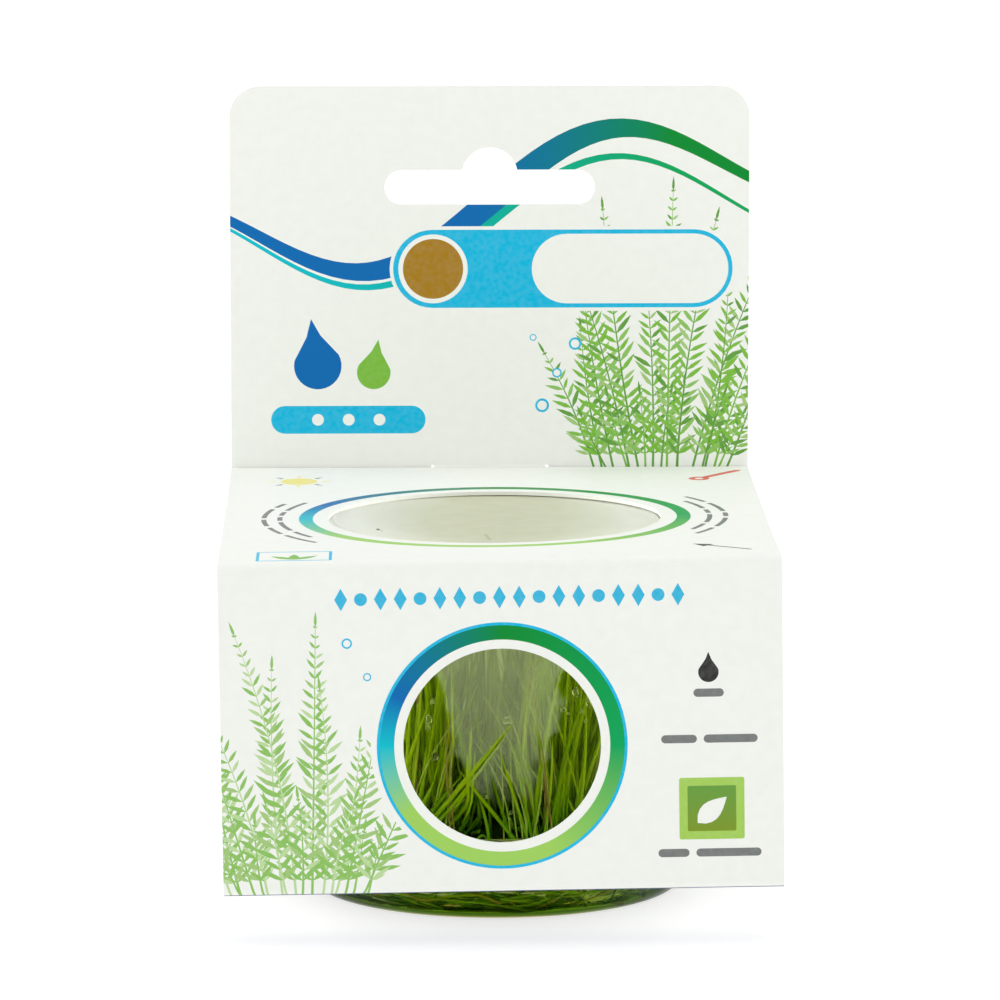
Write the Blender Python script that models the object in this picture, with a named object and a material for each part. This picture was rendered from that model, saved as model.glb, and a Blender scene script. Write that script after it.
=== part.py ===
"""Dwarf hairgrass grown in a clear lidded culture cup, held in a folded card sleeve.

The cup stands on the floor at the origin. +X is to the right of someone who looks at
the sleeve's front, -Y points at them, and +Z is up. Everything is in metres.
"""

import math
import random

import bmesh
import bpy
from mathutils import Vector

MM = 0.001
GAP = 0.3 * MM

# The card sleeve: one strip folded round the cup, with a hang tab behind it.
SLEEVE_WIDTH = 74 * MM
SLEEVE_DEPTH = 84 * MM
SLEEVE_BOTTOM = 7.2 * MM
SLEEVE_TOP = 51.6 * MM
TAB_TOP = 106.3 * MM
CARD = 0.5 * MM
BEND_RADIUS = 1.3 * MM
BEND_STEPS = 4
TAB_CORNER = 4.3 * MM
# The front of the sleeve sits a little turned on the level back, right side up.
SLEEVE_TWIST = math.radians(0.8)
TWIST_HEIGHT = (SLEEVE_BOTTOM + SLEEVE_TOP) / 2

# The openings in the card.
HANG_SLOT_WIDTH = 30 * MM
HANG_SLOT_HEIGHT = 5 * MM
HANG_SLOT_CENTRE = 91.9 * MM
HANG_BUMP_RADIUS = 4 * MM
HANG_BUMP_DROP = 0.8 * MM
WINDOW_RADIUS = 13 * MM
WINDOW_HEIGHT = 27 * MM
TOP_HOLE_RADIUS = 22.8 * MM
TOP_HOLE_Y = -2.6 * MM
TONGUE_WIDTH = 16 * MM
TONGUE_REACH = 3.6 * MM
TONGUE_CORNER = 1.5 * MM
SLIT_SIDE_CLEARANCE = 0.4 * MM
CUP_HOLE_CLEARANCE = 0.45 * MM

# The cup and its lid.
CUP_BASE_RADIUS = 25.8 * MM
CUP_TAPER = 0.17
CUP_BASE_ROUND = 1.5 * MM
CUP_WALL = 0.8 * MM
CUP_FLOOR = 0.9 * MM
CUP_RIM_TOP = 49.1 * MM
CUP_RIM_RADIUS = 35 * MM
CUP_RIM_THICKNESS = 1 * MM
CUP_TURNS = 56
LID_RADIUS = 36.2 * MM
LID_TOP = 50.4 * MM
LID_THICKNESS = 0.8 * MM
LID_PANEL_RADIUS = 21.8 * MM
LID_PANEL_SINK = 0.3 * MM
LID_CHAMFER = 0.6 * MM
LID_SKIRT_BOTTOM = 44.8 * MM
LID_SKIRT_WALL = 0.7 * MM
LID_PLUG_RADIUS = 32.4 * MM
LID_PLUG_BOTTOM = 47.4 * MM

# The nutrient gel and the grass on it.
GEL_TOP = 10 * MM
GEL_EDGE_CLIMB = 0.7 * MM
GEL_EDGE_WIDTH = 2 * MM
GEL_SIDE_GAP = 0.4 * MM
GEL_TURNS = 48
TUFT_RING_RADIUS = 17 * MM
CROWN_RADIUS = 4 * MM
CROWN_HEART = 1.6 * MM
CROWN_HEIGHT = 1.1 * MM
CROWN_DOME = 1.3
CROWN_SIDES = 8
GRASS_TOP = 47 * MM
GRASS_SPREAD = 1.3
LOCK_SPREAD = 2.6
LOCK_RINGS = 6
LOCK_BEND = 1.25
LOCK_STRAY = 1 * MM
LOCK_WIDTH = 0.86
TIP_WIDTH = 0.14
SIDE_TUFT_HEIGHTS = (33 * MM, GRASS_TOP)
MIDDLE_TUFT_HEIGHTS = (16.5 * MM, 24 * MM)
SIDE_TUFTS = {
    "tuft_right": 0,
    "tuft_back_right": 60,
    "tuft_back_left": 120,
    "tuft_left": 180,
    "tuft_front_left": 240,
    "tuft_front_right": 300,
}

# Lengths along the strip's outer face, from the rear edge of the top panel: over the
# top, down the front, under the cup and up the back to the end of the tab.
REAR_EDGE_Y = SLEEVE_DEPTH / 2 - CARD - GAP
FRONT_BEND_Y = -SLEEVE_DEPTH / 2 + BEND_RADIUS
QUARTER = math.pi / 2
BEND_LENGTH = QUARTER * BEND_RADIUS
TOP_RUN = REAR_EDGE_Y - FRONT_BEND_Y
FRONT_RUN = SLEEVE_TOP - SLEEVE_BOTTOM - 2 * BEND_RADIUS
BOTTOM_RUN = SLEEVE_DEPTH - 2 * BEND_RADIUS
BACK_RUN = TAB_TOP - SLEEVE_BOTTOM - BEND_RADIUS
RUNS = (
    (TOP_RUN, 0),
    (BEND_LENGTH, QUARTER),
    (FRONT_RUN, 0),
    (BEND_LENGTH, QUARTER),
    (BOTTOM_RUN, 0),
    (BEND_LENGTH, QUARTER),
    (BACK_RUN, 0),
)
FRONT_START = TOP_RUN + BEND_LENGTH
BOTTOM_START = FRONT_START + FRONT_RUN + BEND_LENGTH
BACK_START = BOTTOM_START + BOTTOM_RUN + BEND_LENGTH
STRIP_END = BACK_START + BACK_RUN


def clear_scene():
    """Remove whatever objects the file starts with."""
    for thing in list(bpy.data.objects):
        bpy.data.objects.remove(thing, do_unlink=True)


def plain_material(name, colour, roughness, alpha=1.0):
    """A Principled material of one colour."""
    material = bpy.data.materials.new(name)
    material.use_nodes = True
    shader = material.node_tree.nodes["Principled BSDF"]
    shader.inputs["Base Color"].default_value = (*colour, 1)
    shader.inputs["Roughness"].default_value = roughness
    shader.inputs["Metallic"].default_value = 0
    shader.inputs["Alpha"].default_value = alpha
    material.diffuse_color = (*colour, alpha)
    return material


def add_object(name, form, material, sharp_angle=30):
    """Turn a bmesh into a named object with smooth shading between its sharp edges."""
    mesh = bpy.data.meshes.new(name)
    form.to_mesh(mesh)
    form.free()
    mesh.materials.append(material)
    mesh.shade_smooth()
    mesh.set_sharp_from_angle(angle=math.radians(sharp_angle))
    thing = bpy.data.objects.new(name, mesh)
    bpy.context.scene.collection.objects.link(thing)
    return thing


def arc(centre, radius, start, end, steps):
    """Points on an arc in a plane, angles in degrees, both ends included."""
    points = []
    for step in range(steps + 1):
        angle = math.radians(start + (end - start) * step / steps)
        points.append((centre[0] + radius * math.cos(angle), centre[1] + radius * math.sin(angle)))
    return points


def circle(centre, radius, steps):
    """A closed ring of points, without the first one repeated at its end."""
    return arc(centre, radius, 0, 360, steps)[:-1]


def along_top(y):
    return REAR_EDGE_Y - y


def along_front(z):
    return FRONT_START + SLEEVE_TOP - BEND_RADIUS - z


def along_bottom(y):
    return BOTTOM_START + y - FRONT_BEND_Y


def along_back(z):
    return BACK_START + z - SLEEVE_BOTTOM - BEND_RADIUS


def twist(x, y, z):
    """Turn a point about the Y axis, not at all at the back and fully at the front."""
    share = min(1, max(0, (SLEEVE_DEPTH / 2 - y) / SLEEVE_DEPTH))
    angle = SLEEVE_TWIST * share
    rise = z - TWIST_HEIGHT
    turned_x = x * math.cos(angle) - rise * math.sin(angle)
    turned_z = TWIST_HEIGHT + x * math.sin(angle) + rise * math.cos(angle)
    return Vector((turned_x, y, turned_z))


def fold(across, along):
    """Where a point of the flat strip lies on the outer face of the folded sleeve."""
    y = REAR_EDGE_Y
    z = SLEEVE_TOP
    heading = math.pi
    left = along
    for length, turn in RUNS:
        step = min(left, length)
        if turn == 0:
            y += step * math.cos(heading)
            z += step * math.sin(heading)
        else:
            end = heading + turn * step / length
            y += BEND_RADIUS * (math.sin(end) - math.sin(heading))
            z -= BEND_RADIUS * (math.cos(end) - math.cos(heading))
            heading = end
        left -= step
        if left <= 0:
            break
    return twist(across, y, z)


def strip_outline():
    """The cut edge of the flat strip: square at the top panel, a tongue, a rounded tab."""
    half = SLEEVE_WIDTH / 2
    tongue = TONGUE_WIDTH / 2
    tip = -TONGUE_REACH
    outline = [(-half, 0), (-tongue, 0)]
    outline += arc((-tongue + TONGUE_CORNER, tip + TONGUE_CORNER), TONGUE_CORNER, 180, 270, 3)
    outline += arc((tongue - TONGUE_CORNER, tip + TONGUE_CORNER), TONGUE_CORNER, 270, 360, 3)
    outline += [(tongue, 0), (half, 0)]
    corner = STRIP_END - TAB_CORNER
    outline += arc((half - TAB_CORNER, corner), TAB_CORNER, 0, 90, 6)
    outline += arc((-half + TAB_CORNER, corner), TAB_CORNER, 90, 180, 6)
    return outline


def hang_slot():
    """A wide slot with round ends and a round bump above its middle, in (x, z)."""
    end_radius = HANG_SLOT_HEIGHT / 2
    end_x = HANG_SLOT_WIDTH / 2 - end_radius
    bump_z = HANG_SLOT_CENTRE + end_radius - HANG_BUMP_DROP
    lean = math.degrees(math.asin(HANG_BUMP_DROP / HANG_BUMP_RADIUS))
    points = arc((end_x, HANG_SLOT_CENTRE), end_radius, -90, 90, 8)
    points += arc((0, bump_z), HANG_BUMP_RADIUS, lean, 180 - lean, 10)
    points += arc((-end_x, HANG_SLOT_CENTRE), end_radius, 90, 270, 8)
    return points


def strip_openings():
    """Outlines of every hole in the flat strip, as (across, along) points."""
    cup_at_card = CUP_BASE_RADIUS + CUP_TAPER * (SLEEVE_BOTTOM + CARD - CUP_BASE_ROUND)
    slit_half = TONGUE_WIDTH / 2 + SLIT_SIDE_CLEARANCE
    slit_low = along_back(SLEEVE_TOP - CARD - GAP)
    slit_high = along_back(SLEEVE_TOP + GAP)
    return [
        circle((0, along_top(TOP_HOLE_Y)), TOP_HOLE_RADIUS, 64),
        circle((0, along_front(WINDOW_HEIGHT)), WINDOW_RADIUS, 56),
        circle((0, along_bottom(0)), cup_at_card + CUP_HOLE_CLEARANCE, 56),
        [(-slit_half, slit_low), (slit_half, slit_low), (slit_half, slit_high), (-slit_half, slit_high)],
        [(x, along_back(z)) for x, z in hang_slot()],
    ]


def fold_lines():
    """Lengths along the strip where it is cut across, so that it can bend there."""
    lines = [TOP_RUN / 2, BOTTOM_START + BOTTOM_RUN / 2]
    start = 0
    for length, turn in RUNS:
        if turn:
            lines += [start + length * step / BEND_STEPS for step in range(BEND_STEPS + 1)]
        start += length
    return lines


def make_card_sleeve():
    """Lay the strip out flat with its printed side up, fold it, then thicken it inwards."""
    sheet = bmesh.new()
    for outline in [strip_outline()] + strip_openings():
        corners = [sheet.verts.new((across, -along, 0)) for across, along in outline]
        for number, corner in enumerate(corners):
            sheet.edges.new((corner, corners[number - 1]))
    bmesh.ops.triangle_fill(sheet, use_beauty=True, edges=sheet.edges[:], normal=(0, 0, 1))
    for line in fold_lines():
        everything = sheet.verts[:] + sheet.edges[:] + sheet.faces[:]
        bmesh.ops.bisect_plane(sheet, geom=everything, dist=1e-7, plane_co=(0, -line, 0), plane_no=(0, 1, 0))
    bmesh.ops.triangulate(sheet, faces=sheet.faces[:])
    for corner in sheet.verts:
        corner.co = fold(corner.co.x, -corner.co.y)
    board = plain_material("white_board", (0.86, 0.87, 0.83), 0.55)
    sleeve = add_object("card_sleeve", sheet, board)
    thickness = sleeve.modifiers.new("card_thickness", "SOLIDIFY")
    thickness.thickness = CARD
    thickness.offset = -1
    thickness.use_even_offset = True
    return sleeve


def turned_form(profile, turns):
    """Spin a half profile of (radius, height) points, centre to centre, about the Z axis."""
    form = bmesh.new()
    rows = []
    for radius, height in profile:
        if radius == 0:
            rows.append([form.verts.new((0, 0, height))])
            continue
        rows.append([form.verts.new((x, y, height)) for x, y in circle((0, 0), radius, turns)])
    for inner, outer in zip(rows, rows[1:]):
        for place in range(turns):
            after = (place + 1) % turns
            corners = [inner[place % len(inner)], outer[place % len(outer)]]
            corners += [outer[after % len(outer)], inner[after % len(inner)]]
            form.faces.new(list(dict.fromkeys(corners)))
    bmesh.ops.recalc_face_normals(form, faces=form.faces[:])
    return form


def cup_radius(z):
    """Outer radius of the cup's wall at a height above its rounded base edge."""
    return CUP_BASE_RADIUS + CUP_TAPER * (z - CUP_BASE_ROUND)


def make_cup():
    """An open tapered cup with a flat base, a rounded foot and a flange for the lid."""
    rim_under = CUP_RIM_TOP - CUP_RIM_THICKNESS
    foot_inside = CUP_FLOOR + CUP_BASE_ROUND
    foot_centre = CUP_BASE_RADIUS - CUP_BASE_ROUND
    profile = [(0, 0)]
    profile += arc((foot_centre, CUP_BASE_ROUND), CUP_BASE_ROUND, -90, 0, 3)
    profile += [(cup_radius(rim_under), rim_under), (CUP_RIM_RADIUS, rim_under)]
    profile += [(CUP_RIM_RADIUS, CUP_RIM_TOP), (cup_radius(CUP_RIM_TOP) - CUP_WALL, CUP_RIM_TOP)]
    profile += [(cup_radius(foot_inside) - CUP_WALL, foot_inside)]
    profile += [(foot_centre - CUP_WALL, CUP_FLOOR), (0, CUP_FLOOR)]
    clear = plain_material("clear_plastic", (0.9, 0.93, 0.9), 0.08, 0.3)
    return add_object("cup", turned_form(profile, CUP_TURNS), clear)


def make_lid():
    """A snap lid: a sunk panel, a raised ring over the cup's flange, a skirt and a plug."""
    panel_top = LID_TOP - LID_PANEL_SINK
    ceiling = LID_TOP - LID_THICKNESS
    skirt_inside = LID_RADIUS - LID_SKIRT_WALL
    plug_inside = LID_PLUG_RADIUS - LID_THICKNESS
    profile = [(0, panel_top), (LID_PANEL_RADIUS, panel_top)]
    profile += [(LID_PANEL_RADIUS + LID_PANEL_SINK / 2, LID_TOP)]
    profile += [(LID_RADIUS - LID_CHAMFER, LID_TOP), (LID_RADIUS, LID_TOP - LID_CHAMFER)]
    profile += [(LID_RADIUS, LID_SKIRT_BOTTOM), (skirt_inside, LID_SKIRT_BOTTOM)]
    profile += [(skirt_inside, ceiling), (LID_PLUG_RADIUS, ceiling)]
    profile += [(LID_PLUG_RADIUS, LID_PLUG_BOTTOM), (plug_inside, LID_PLUG_BOTTOM)]
    profile += [(plug_inside, panel_top - LID_THICKNESS), (0, panel_top - LID_THICKNESS)]
    milky = plain_material("milky_plastic", (0.78, 0.77, 0.68), 0.3, 0.7)
    return add_object("lid", turned_form(profile, CUP_TURNS), milky)


def make_gel():
    """The clear gel that fills the foot of the cup and climbs its wall a little."""
    bottom = CUP_FLOOR + GAP
    foot_inside = CUP_FLOOR + CUP_BASE_ROUND + GAP
    inset = CUP_WALL + GEL_SIDE_GAP
    edge_top = GEL_TOP + GEL_EDGE_CLIMB
    profile = [(0, bottom), (CUP_BASE_RADIUS - CUP_BASE_ROUND - inset, bottom)]
    profile += [(cup_radius(foot_inside) - inset, foot_inside), (cup_radius(edge_top) - inset, edge_top)]
    profile += [(cup_radius(edge_top) - inset - GEL_EDGE_WIDTH, GEL_TOP), (0, GEL_TOP)]
    amber = plain_material("nutrient_gel", (0.35, 0.33, 0.12), 0.15, 0.5)
    return add_object("gel", turned_form(profile, GEL_TURNS), amber)


def make_crown(form, centre, floor):
    """A low drum whose top is a ring of faces round an eight-sided heart."""
    rings = []
    levels = ((CROWN_RADIUS, 0), (CROWN_RADIUS, CROWN_HEIGHT), (CROWN_HEART, CROWN_HEIGHT * CROWN_DOME))
    for radius, rise in levels:
        spots = circle(centre, radius, CROWN_SIDES)
        rings.append([form.verts.new((x, y, floor + rise)) for x, y in spots])
    low, edge, heart = rings
    form.faces.new(low[::-1])
    roots = [form.faces.new(heart)]
    for place in range(CROWN_SIDES):
        after = (place + 1) % CROWN_SIDES
        form.faces.new((low[place], low[after], edge[after], edge[place]))
        roots.append(form.faces.new((edge[place], edge[after], heart[after], heart[place])))
    return roots


def grow_lock(form, root, centre, tip_height, stray):
    """Draw one face of the crown up into a tapering, outward bending lock of blades."""
    start = root.calc_center_median()
    shape = [corner.co - start for corner in root.verts]
    reach = centre * GRASS_SPREAD + (start.xy - centre) * LOCK_SPREAD + stray
    face = root
    for ring in range(1, LOCK_RINGS + 1):
        share = ring / LOCK_RINGS
        height = start.z + (tip_height - start.z) * share
        bend = ((height - start.z) / (GRASS_TOP - start.z)) ** LOCK_BEND
        spot = start.xy.lerp(reach, bend)
        size = LOCK_WIDTH * (1 - share ** 2) + TIP_WIDTH * share
        face = bmesh.ops.extrude_discrete_faces(form, faces=[face])["faces"][0]
        for corner, offset in zip(face.verts, shape):
            corner.co = Vector((spot.x, spot.y, height)) + offset * size
            corner.co.z = height


def make_tuft(name, centre, heights, material, seed):
    """One plant: a crown resting on the gel, with a lock of blades from each of its faces."""
    chance = random.Random(seed)
    form = bmesh.new()
    for root in make_crown(form, centre, GEL_TOP + GAP):
        stray = Vector((chance.uniform(-1, 1), chance.uniform(-1, 1))) * LOCK_STRAY
        grow_lock(form, root, centre, chance.uniform(*heights), stray)
    bmesh.ops.recalc_face_normals(form, faces=form.faces[:])
    return add_object(name, form, material, sharp_angle=50)


def make_grass():
    """A low tuft in the middle and a ring of tall ones round it."""
    green = plain_material("grass_green", (0.16, 0.26, 0.03), 0.45)
    make_tuft("tuft_middle", Vector((0, 0)), MIDDLE_TUFT_HEIGHTS, green, 1)
    for seed, (name, degrees) in enumerate(SIDE_TUFTS.items(), start=2):
        angle = math.radians(degrees)
        centre = Vector((math.cos(angle), math.sin(angle))) * TUFT_RING_RADIUS
        make_tuft(name, centre, SIDE_TUFT_HEIGHTS, green, seed)


def main():
    clear_scene()
    make_card_sleeve()
    make_cup()
    make_lid()
    make_gel()
    make_grass()


main()
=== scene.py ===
# %% [markdown]
# # Dwarf hairgrass in its culture cup and card sleeve
# Small aquarium plants are sold in a clear cup, raised on gel, with a card folded round
# it. This lesson dresses the plain model of that pack: it prints and folds the card,
# turns the cup and the lid, and grows every blade of grass as mesh. The first step loads
# the plain model, whose sizes everything else is measured from.

import math

import bpy
import numpy as np
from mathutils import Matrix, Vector
from mathutils.geometry import delaunay_2d_cdt


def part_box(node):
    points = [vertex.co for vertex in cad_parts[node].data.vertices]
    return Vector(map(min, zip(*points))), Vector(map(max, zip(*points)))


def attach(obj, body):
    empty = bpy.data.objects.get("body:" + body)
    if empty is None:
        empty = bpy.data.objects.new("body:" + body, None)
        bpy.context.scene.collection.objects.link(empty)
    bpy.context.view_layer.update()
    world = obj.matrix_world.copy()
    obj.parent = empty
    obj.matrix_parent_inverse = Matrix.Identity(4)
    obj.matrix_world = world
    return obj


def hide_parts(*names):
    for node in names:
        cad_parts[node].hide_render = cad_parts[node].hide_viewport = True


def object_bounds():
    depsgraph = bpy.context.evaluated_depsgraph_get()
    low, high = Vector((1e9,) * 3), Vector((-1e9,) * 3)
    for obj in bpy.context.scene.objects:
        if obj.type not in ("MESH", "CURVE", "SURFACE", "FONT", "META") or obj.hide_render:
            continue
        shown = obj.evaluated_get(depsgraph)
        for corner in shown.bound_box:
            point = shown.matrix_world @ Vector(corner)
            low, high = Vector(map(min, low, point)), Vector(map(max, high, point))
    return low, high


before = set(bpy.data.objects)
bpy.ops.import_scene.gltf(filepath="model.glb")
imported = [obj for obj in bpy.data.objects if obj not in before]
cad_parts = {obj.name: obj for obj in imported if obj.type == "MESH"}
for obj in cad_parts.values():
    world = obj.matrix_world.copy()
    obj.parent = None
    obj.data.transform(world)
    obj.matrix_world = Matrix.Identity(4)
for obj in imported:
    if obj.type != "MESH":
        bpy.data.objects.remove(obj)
cad_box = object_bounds()
MM = 0.001
print("nodes:", sorted(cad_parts))
print("size in mm:", [round(side / MM, 1) for side in cad_box[1] - cad_box[0]])

# %% [markdown]
# ## Camera
# A long lens from a little above the front keeps the card's upright edges almost
# parallel, as in a shop photo. The camera could be aimed by a constraint. Here it stands
# on a ray that leaves the aim point and looks back along it, so that azimuth, elevation
# and distance can each be changed alone, and no lens shift is needed.

# %% Place the camera
PICTURE_SIDE = 1000
FOCAL_PIXELS = 6607
SENSOR_WIDTH = 36
CAMERA_AZIMUTH = math.radians(-1.182)
CAMERA_ELEVATION = math.radians(8.77)
CAMERA_DISTANCE = 0.9062
AIM = Vector((0.0006, 0, 0.0532))


def direction(azimuth, elevation):
    """Unit vector from the aim point towards a place round it."""
    level = math.cos(elevation)
    return Vector((math.sin(azimuth) * level, -math.cos(azimuth) * level, math.sin(elevation)))


def add_camera():
    data = bpy.data.cameras.new("camera")
    data.sensor_width = SENSOR_WIDTH
    data.lens = FOCAL_PIXELS / PICTURE_SIDE * SENSOR_WIDTH
    camera = bpy.data.objects.new("camera", data)
    back = direction(CAMERA_AZIMUTH, CAMERA_ELEVATION)
    camera.location = AIM + back * CAMERA_DISTANCE
    camera.rotation_mode = "QUATERNION"
    camera.rotation_quaternion = (-back).to_track_quat("-Z", "Y")
    bpy.context.scene.collection.objects.link(camera)
    bpy.context.scene.camera = camera
    return camera


print("lens in mm:", round(add_camera().data.lens, 1))

# %% [markdown]
# ## Small helpers for shader nodes
# Every finish below is built from a few linked nodes. They could be wired by hand in the
# shader editor, but written down they can be read, compared and changed in one place.
# The first helpers turn the 0 to 255 colours that a printer would name into the linear
# values that the shader wants, start a material, and add one node with its inputs fed.

# %% Colours, materials and nodes


def linear(red, green, blue):
    """A 0 to 255 screen colour as linear light."""
    values = []
    for part in (red / 255, green / 255, blue / 255):
        values.append(part / 12.92 if part <= 0.04045 else ((part + 0.055) / 1.055) ** 2.4)
    return tuple(values)


def shader_of(material):
    return material.node_tree.nodes["Principled BSDF"]


def plain_material(name, colour, roughness, **constants):
    """A Principled material. Constants name further inputs, with underscores for spaces."""
    material = bpy.data.materials.new(name)
    material.use_nodes = True
    inputs = shader_of(material).inputs
    inputs["Base Color"].default_value = (*colour, 1)
    inputs["Roughness"].default_value = roughness
    for key, value in constants.items():
        inputs[key.replace("_", " ")].default_value = value
    return material


def add_node(tree, kind, feeds=None, **settings):
    """Add a node, set its properties, and feed its inputs with values or sockets."""
    made = tree.nodes.new(kind)
    for key, value in settings.items():
        setattr(made, key, value)
    for key, value in (feeds or {}).items():
        if isinstance(value, bpy.types.NodeSocket):
            tree.links.new(value, made.inputs[key])
        else:
            made.inputs[key].default_value = value
    return made


def feed(material, **links):
    """Link sockets into the Principled shader, naming inputs with underscores for spaces."""
    for name, socket in links.items():
        material.node_tree.links.new(socket, shader_of(material).inputs[name.replace("_", " ")])


print("card white, linear:", [round(part, 3) for part in linear(240, 242, 236)])

# %% [markdown]
# ### Patterns and sums
# Patterns could be laid on with an unwrapped texture, but clouds, fibres and streaks
# need no seams and no image: noise that is measured in metres on the object itself
# gives them at their real size. The rest are sums and mixtures of such values.

# %% Patterns, sums and mixtures
NOISE_LOW, NOISE_HIGH = 0.3, 0.7


def object_place(tree):
    """Where a point lies on the model, in metres."""
    return add_node(tree, "ShaderNodeTexCoord").outputs["Object"]


def axes_of(tree):
    """The x, y and z of a point on the model, in metres."""
    return add_node(tree, "ShaderNodeSeparateXYZ", {0: object_place(tree)}).outputs


def vector_node(tree, operation, first, second=(0, 0, 0)):
    """Vector arithmetic. A vector comes out first, and a number under the name Value."""
    return add_node(tree, "ShaderNodeVectorMath", {0: first, 1: second}, operation=operation).outputs


def math_node(tree, operation, first, second=0.0):
    return add_node(tree, "ShaderNodeMath", {0: first, 1: second}, operation=operation).outputs[0]


def product(tree, first, *others):
    """Several numbers multiplied together."""
    for value in others:
        first = math_node(tree, "MULTIPLY", first, value)
    return first


def remap(tree, value, low, high, new_low, new_high):
    """Stretch a value from one range to another, clamped at both ends."""
    feeds = {"Value": value, "From Min": low, "From Max": high, "To Min": new_low, "To Max": new_high}
    return add_node(tree, "ShaderNodeMapRange", feeds).outputs["Result"]


def noise(tree, size, detail=3.0, stretch=(1, 1, 1)):
    """Soft noise whose blobs are about size metres across."""
    scaled = vector_node(tree, "MULTIPLY", object_place(tree), stretch)[0]
    feeds = {"Vector": scaled, "Scale": 1 / size, "Detail": detail}
    return add_node(tree, "ShaderNodeTexNoise", feeds).outputs["Fac"]


def uneven(tree, size, low, high, detail=3.0):
    """A number that wanders between low and high, in blobs about size metres across."""
    return remap(tree, noise(tree, size, detail), NOISE_LOW, NOISE_HIGH, low, high)


def ramp(tree, factor, stops):
    """A colour ramp through (place, colour) stops."""
    made = add_node(tree, "ShaderNodeValToRGB", {"Fac": factor})
    elements = made.color_ramp.elements
    while len(elements) < len(stops):
        elements.new(0.5)
    for element, (place, colour) in zip(elements, stops):
        element.position = place
        element.color = (*colour, 1)
    return made.outputs["Color"]


def mix(tree, share, tint, colour, blend="MIX"):
    """A tint from a socket, mixed with or multiplied by a share of one colour."""
    feeds = {"Factor": share, 6: tint, 7: (*colour, 1)}
    return add_node(tree, "ShaderNodeMix", feeds, data_type="RGBA", blend_type=blend).outputs[2]


def bump(tree, height, depth, strength=1.0):
    feeds = {"Height": height, "Distance": depth, "Strength": strength}
    return add_node(tree, "ShaderNodeBump", feeds).outputs["Normal"]


print("pattern helpers:", [helper.__name__ for helper in (noise, uneven, ramp, mix, bump)])

# %% [markdown]
# ## The light table
# The pack was shot on a light table in a white tent: light comes from everywhere, also
# from below, which leaves hardly a shadow. A plain white floor under brighter lamps would
# show one. So the floor is a grey sheet that glows a little, and more where the lamps
# don't reach it, which keeps it evenly white.

# %% Lay the light table
FLOOR_SIDE = 8
TABLE_GREY = (0.4, 0.4, 0.4)
FLOOR_GLOW_NEAR = 0.66
FLOOR_GLOW_FAR = 0.75
GLOW_NEAR_REACH = 0.2
GLOW_FAR_REACH = 1.6


def add_object(name, mesh):
    """Link a mesh into the scene as a named object."""
    thing = bpy.data.objects.new(name, mesh)
    bpy.context.scene.collection.objects.link(thing)
    return thing


def light_table():
    table = plain_material("light_table", TABLE_GREY, 0.7, Emission_Color=(1, 1, 1, 1))
    tree = table.node_tree
    away = vector_node(tree, "LENGTH", object_place(tree))["Value"]
    glow = remap(tree, away, GLOW_NEAR_REACH, GLOW_FAR_REACH, FLOOR_GLOW_NEAR, FLOOR_GLOW_FAR)
    feed(table, Emission_Strength=glow)
    return table


def add_floor():
    half = FLOOR_SIDE / 2
    mesh = bpy.data.meshes.new("floor")
    corners = [(-half, -half, 0), (half, -half, 0), (half, half, 0), (-half, half, 0)]
    mesh.from_pydata(corners, [], [(0, 1, 2, 3)])
    mesh.materials.append(light_table())
    floor = add_object("floor", mesh)
    return floor


print("floor in m:", add_floor().dimensions.x)

# %% [markdown]
# ## The white tent
# A picture of a studio could light the world, but a tent is the same white all round, so
# a white world does it. Large soft lamps stand over the top and the front. Two more at
# the sides shine in through the sleeve's open ends, because the card shades the plants
# from every other side. The Standard view keeps white card white, where the filmic views
# would turn it grey.

# %% Light the tent
WORLD_STRENGTH = 0.72
# azimuth and elevation in degrees, distance and side in metres, power in watts
LAMPS = {
    "top_softbox": (10, 78, 0.9, 0.8, 1.4),
    "front_softbox": (-25, 30, 1.1, 0.45, 0.25),
    "left_softbox": (-96, 5, 0.9, 0.6, 7.8),
    "right_softbox": (96, 5, 0.9, 0.6, 7.4),
}


def add_world():
    world = bpy.data.worlds.new("white_tent")
    world.use_nodes = True
    background = world.node_tree.nodes["Background"]
    background.inputs["Color"].default_value = (1, 1, 1, 1)
    background.inputs["Strength"].default_value = WORLD_STRENGTH
    bpy.context.scene.world = world


def add_lamp(name, azimuth, elevation, distance, side, watts):
    """A square soft lamp that faces the aim point."""
    data = bpy.data.lights.new(name, "AREA")
    data.shape = "SQUARE"
    data.size = side
    data.energy = watts
    lamp = bpy.data.objects.new(name, data)
    back = direction(math.radians(azimuth), math.radians(elevation))
    lamp.location = AIM + back * distance
    lamp.rotation_euler = (-back).to_track_quat("-Z", "Y").to_euler()
    bpy.context.scene.collection.objects.link(lamp)


add_world()
for lamp_name, settings in LAMPS.items():
    add_lamp(lamp_name, *settings)
bpy.context.scene.view_settings.view_transform = "Standard"
print("lamps:", list(LAMPS))

# %% [markdown]
# ## The card strip, laid flat
# The sleeve is one strip of board. Printing and cutting are far easier on a flat strip,
# so everything is drawn in the strip's own millimetres, across and along it, and a fold
# function carries each point to its place on the sleeve. It walks along the strip like a
# turtle: straight over the panels, and a quarter turn at each bend. The real sleeve sits
# slightly skewed on its cup, so the front is turned by under a degree against the back.

# %% Strip sizes and the fold
WIDTH = 74.0
DEPTH = 84.0
SLEEVE_BOTTOM = 7.2
SLEEVE_TOP = 51.6
TAB_TOP = 106.3
CARD = 0.5
BEND = 1.3
GAP = 0.3
TAB_CORNER = 4.3
SKEW = math.radians(0.8)
MIDDLE = (SLEEVE_BOTTOM + SLEEVE_TOP) / 2
TOP_SAG = -0.33
FRONT_BOW = 0.22
BOW_EVENNESS = 8
BOW_SIDE_LOSS = 0.4

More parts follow.
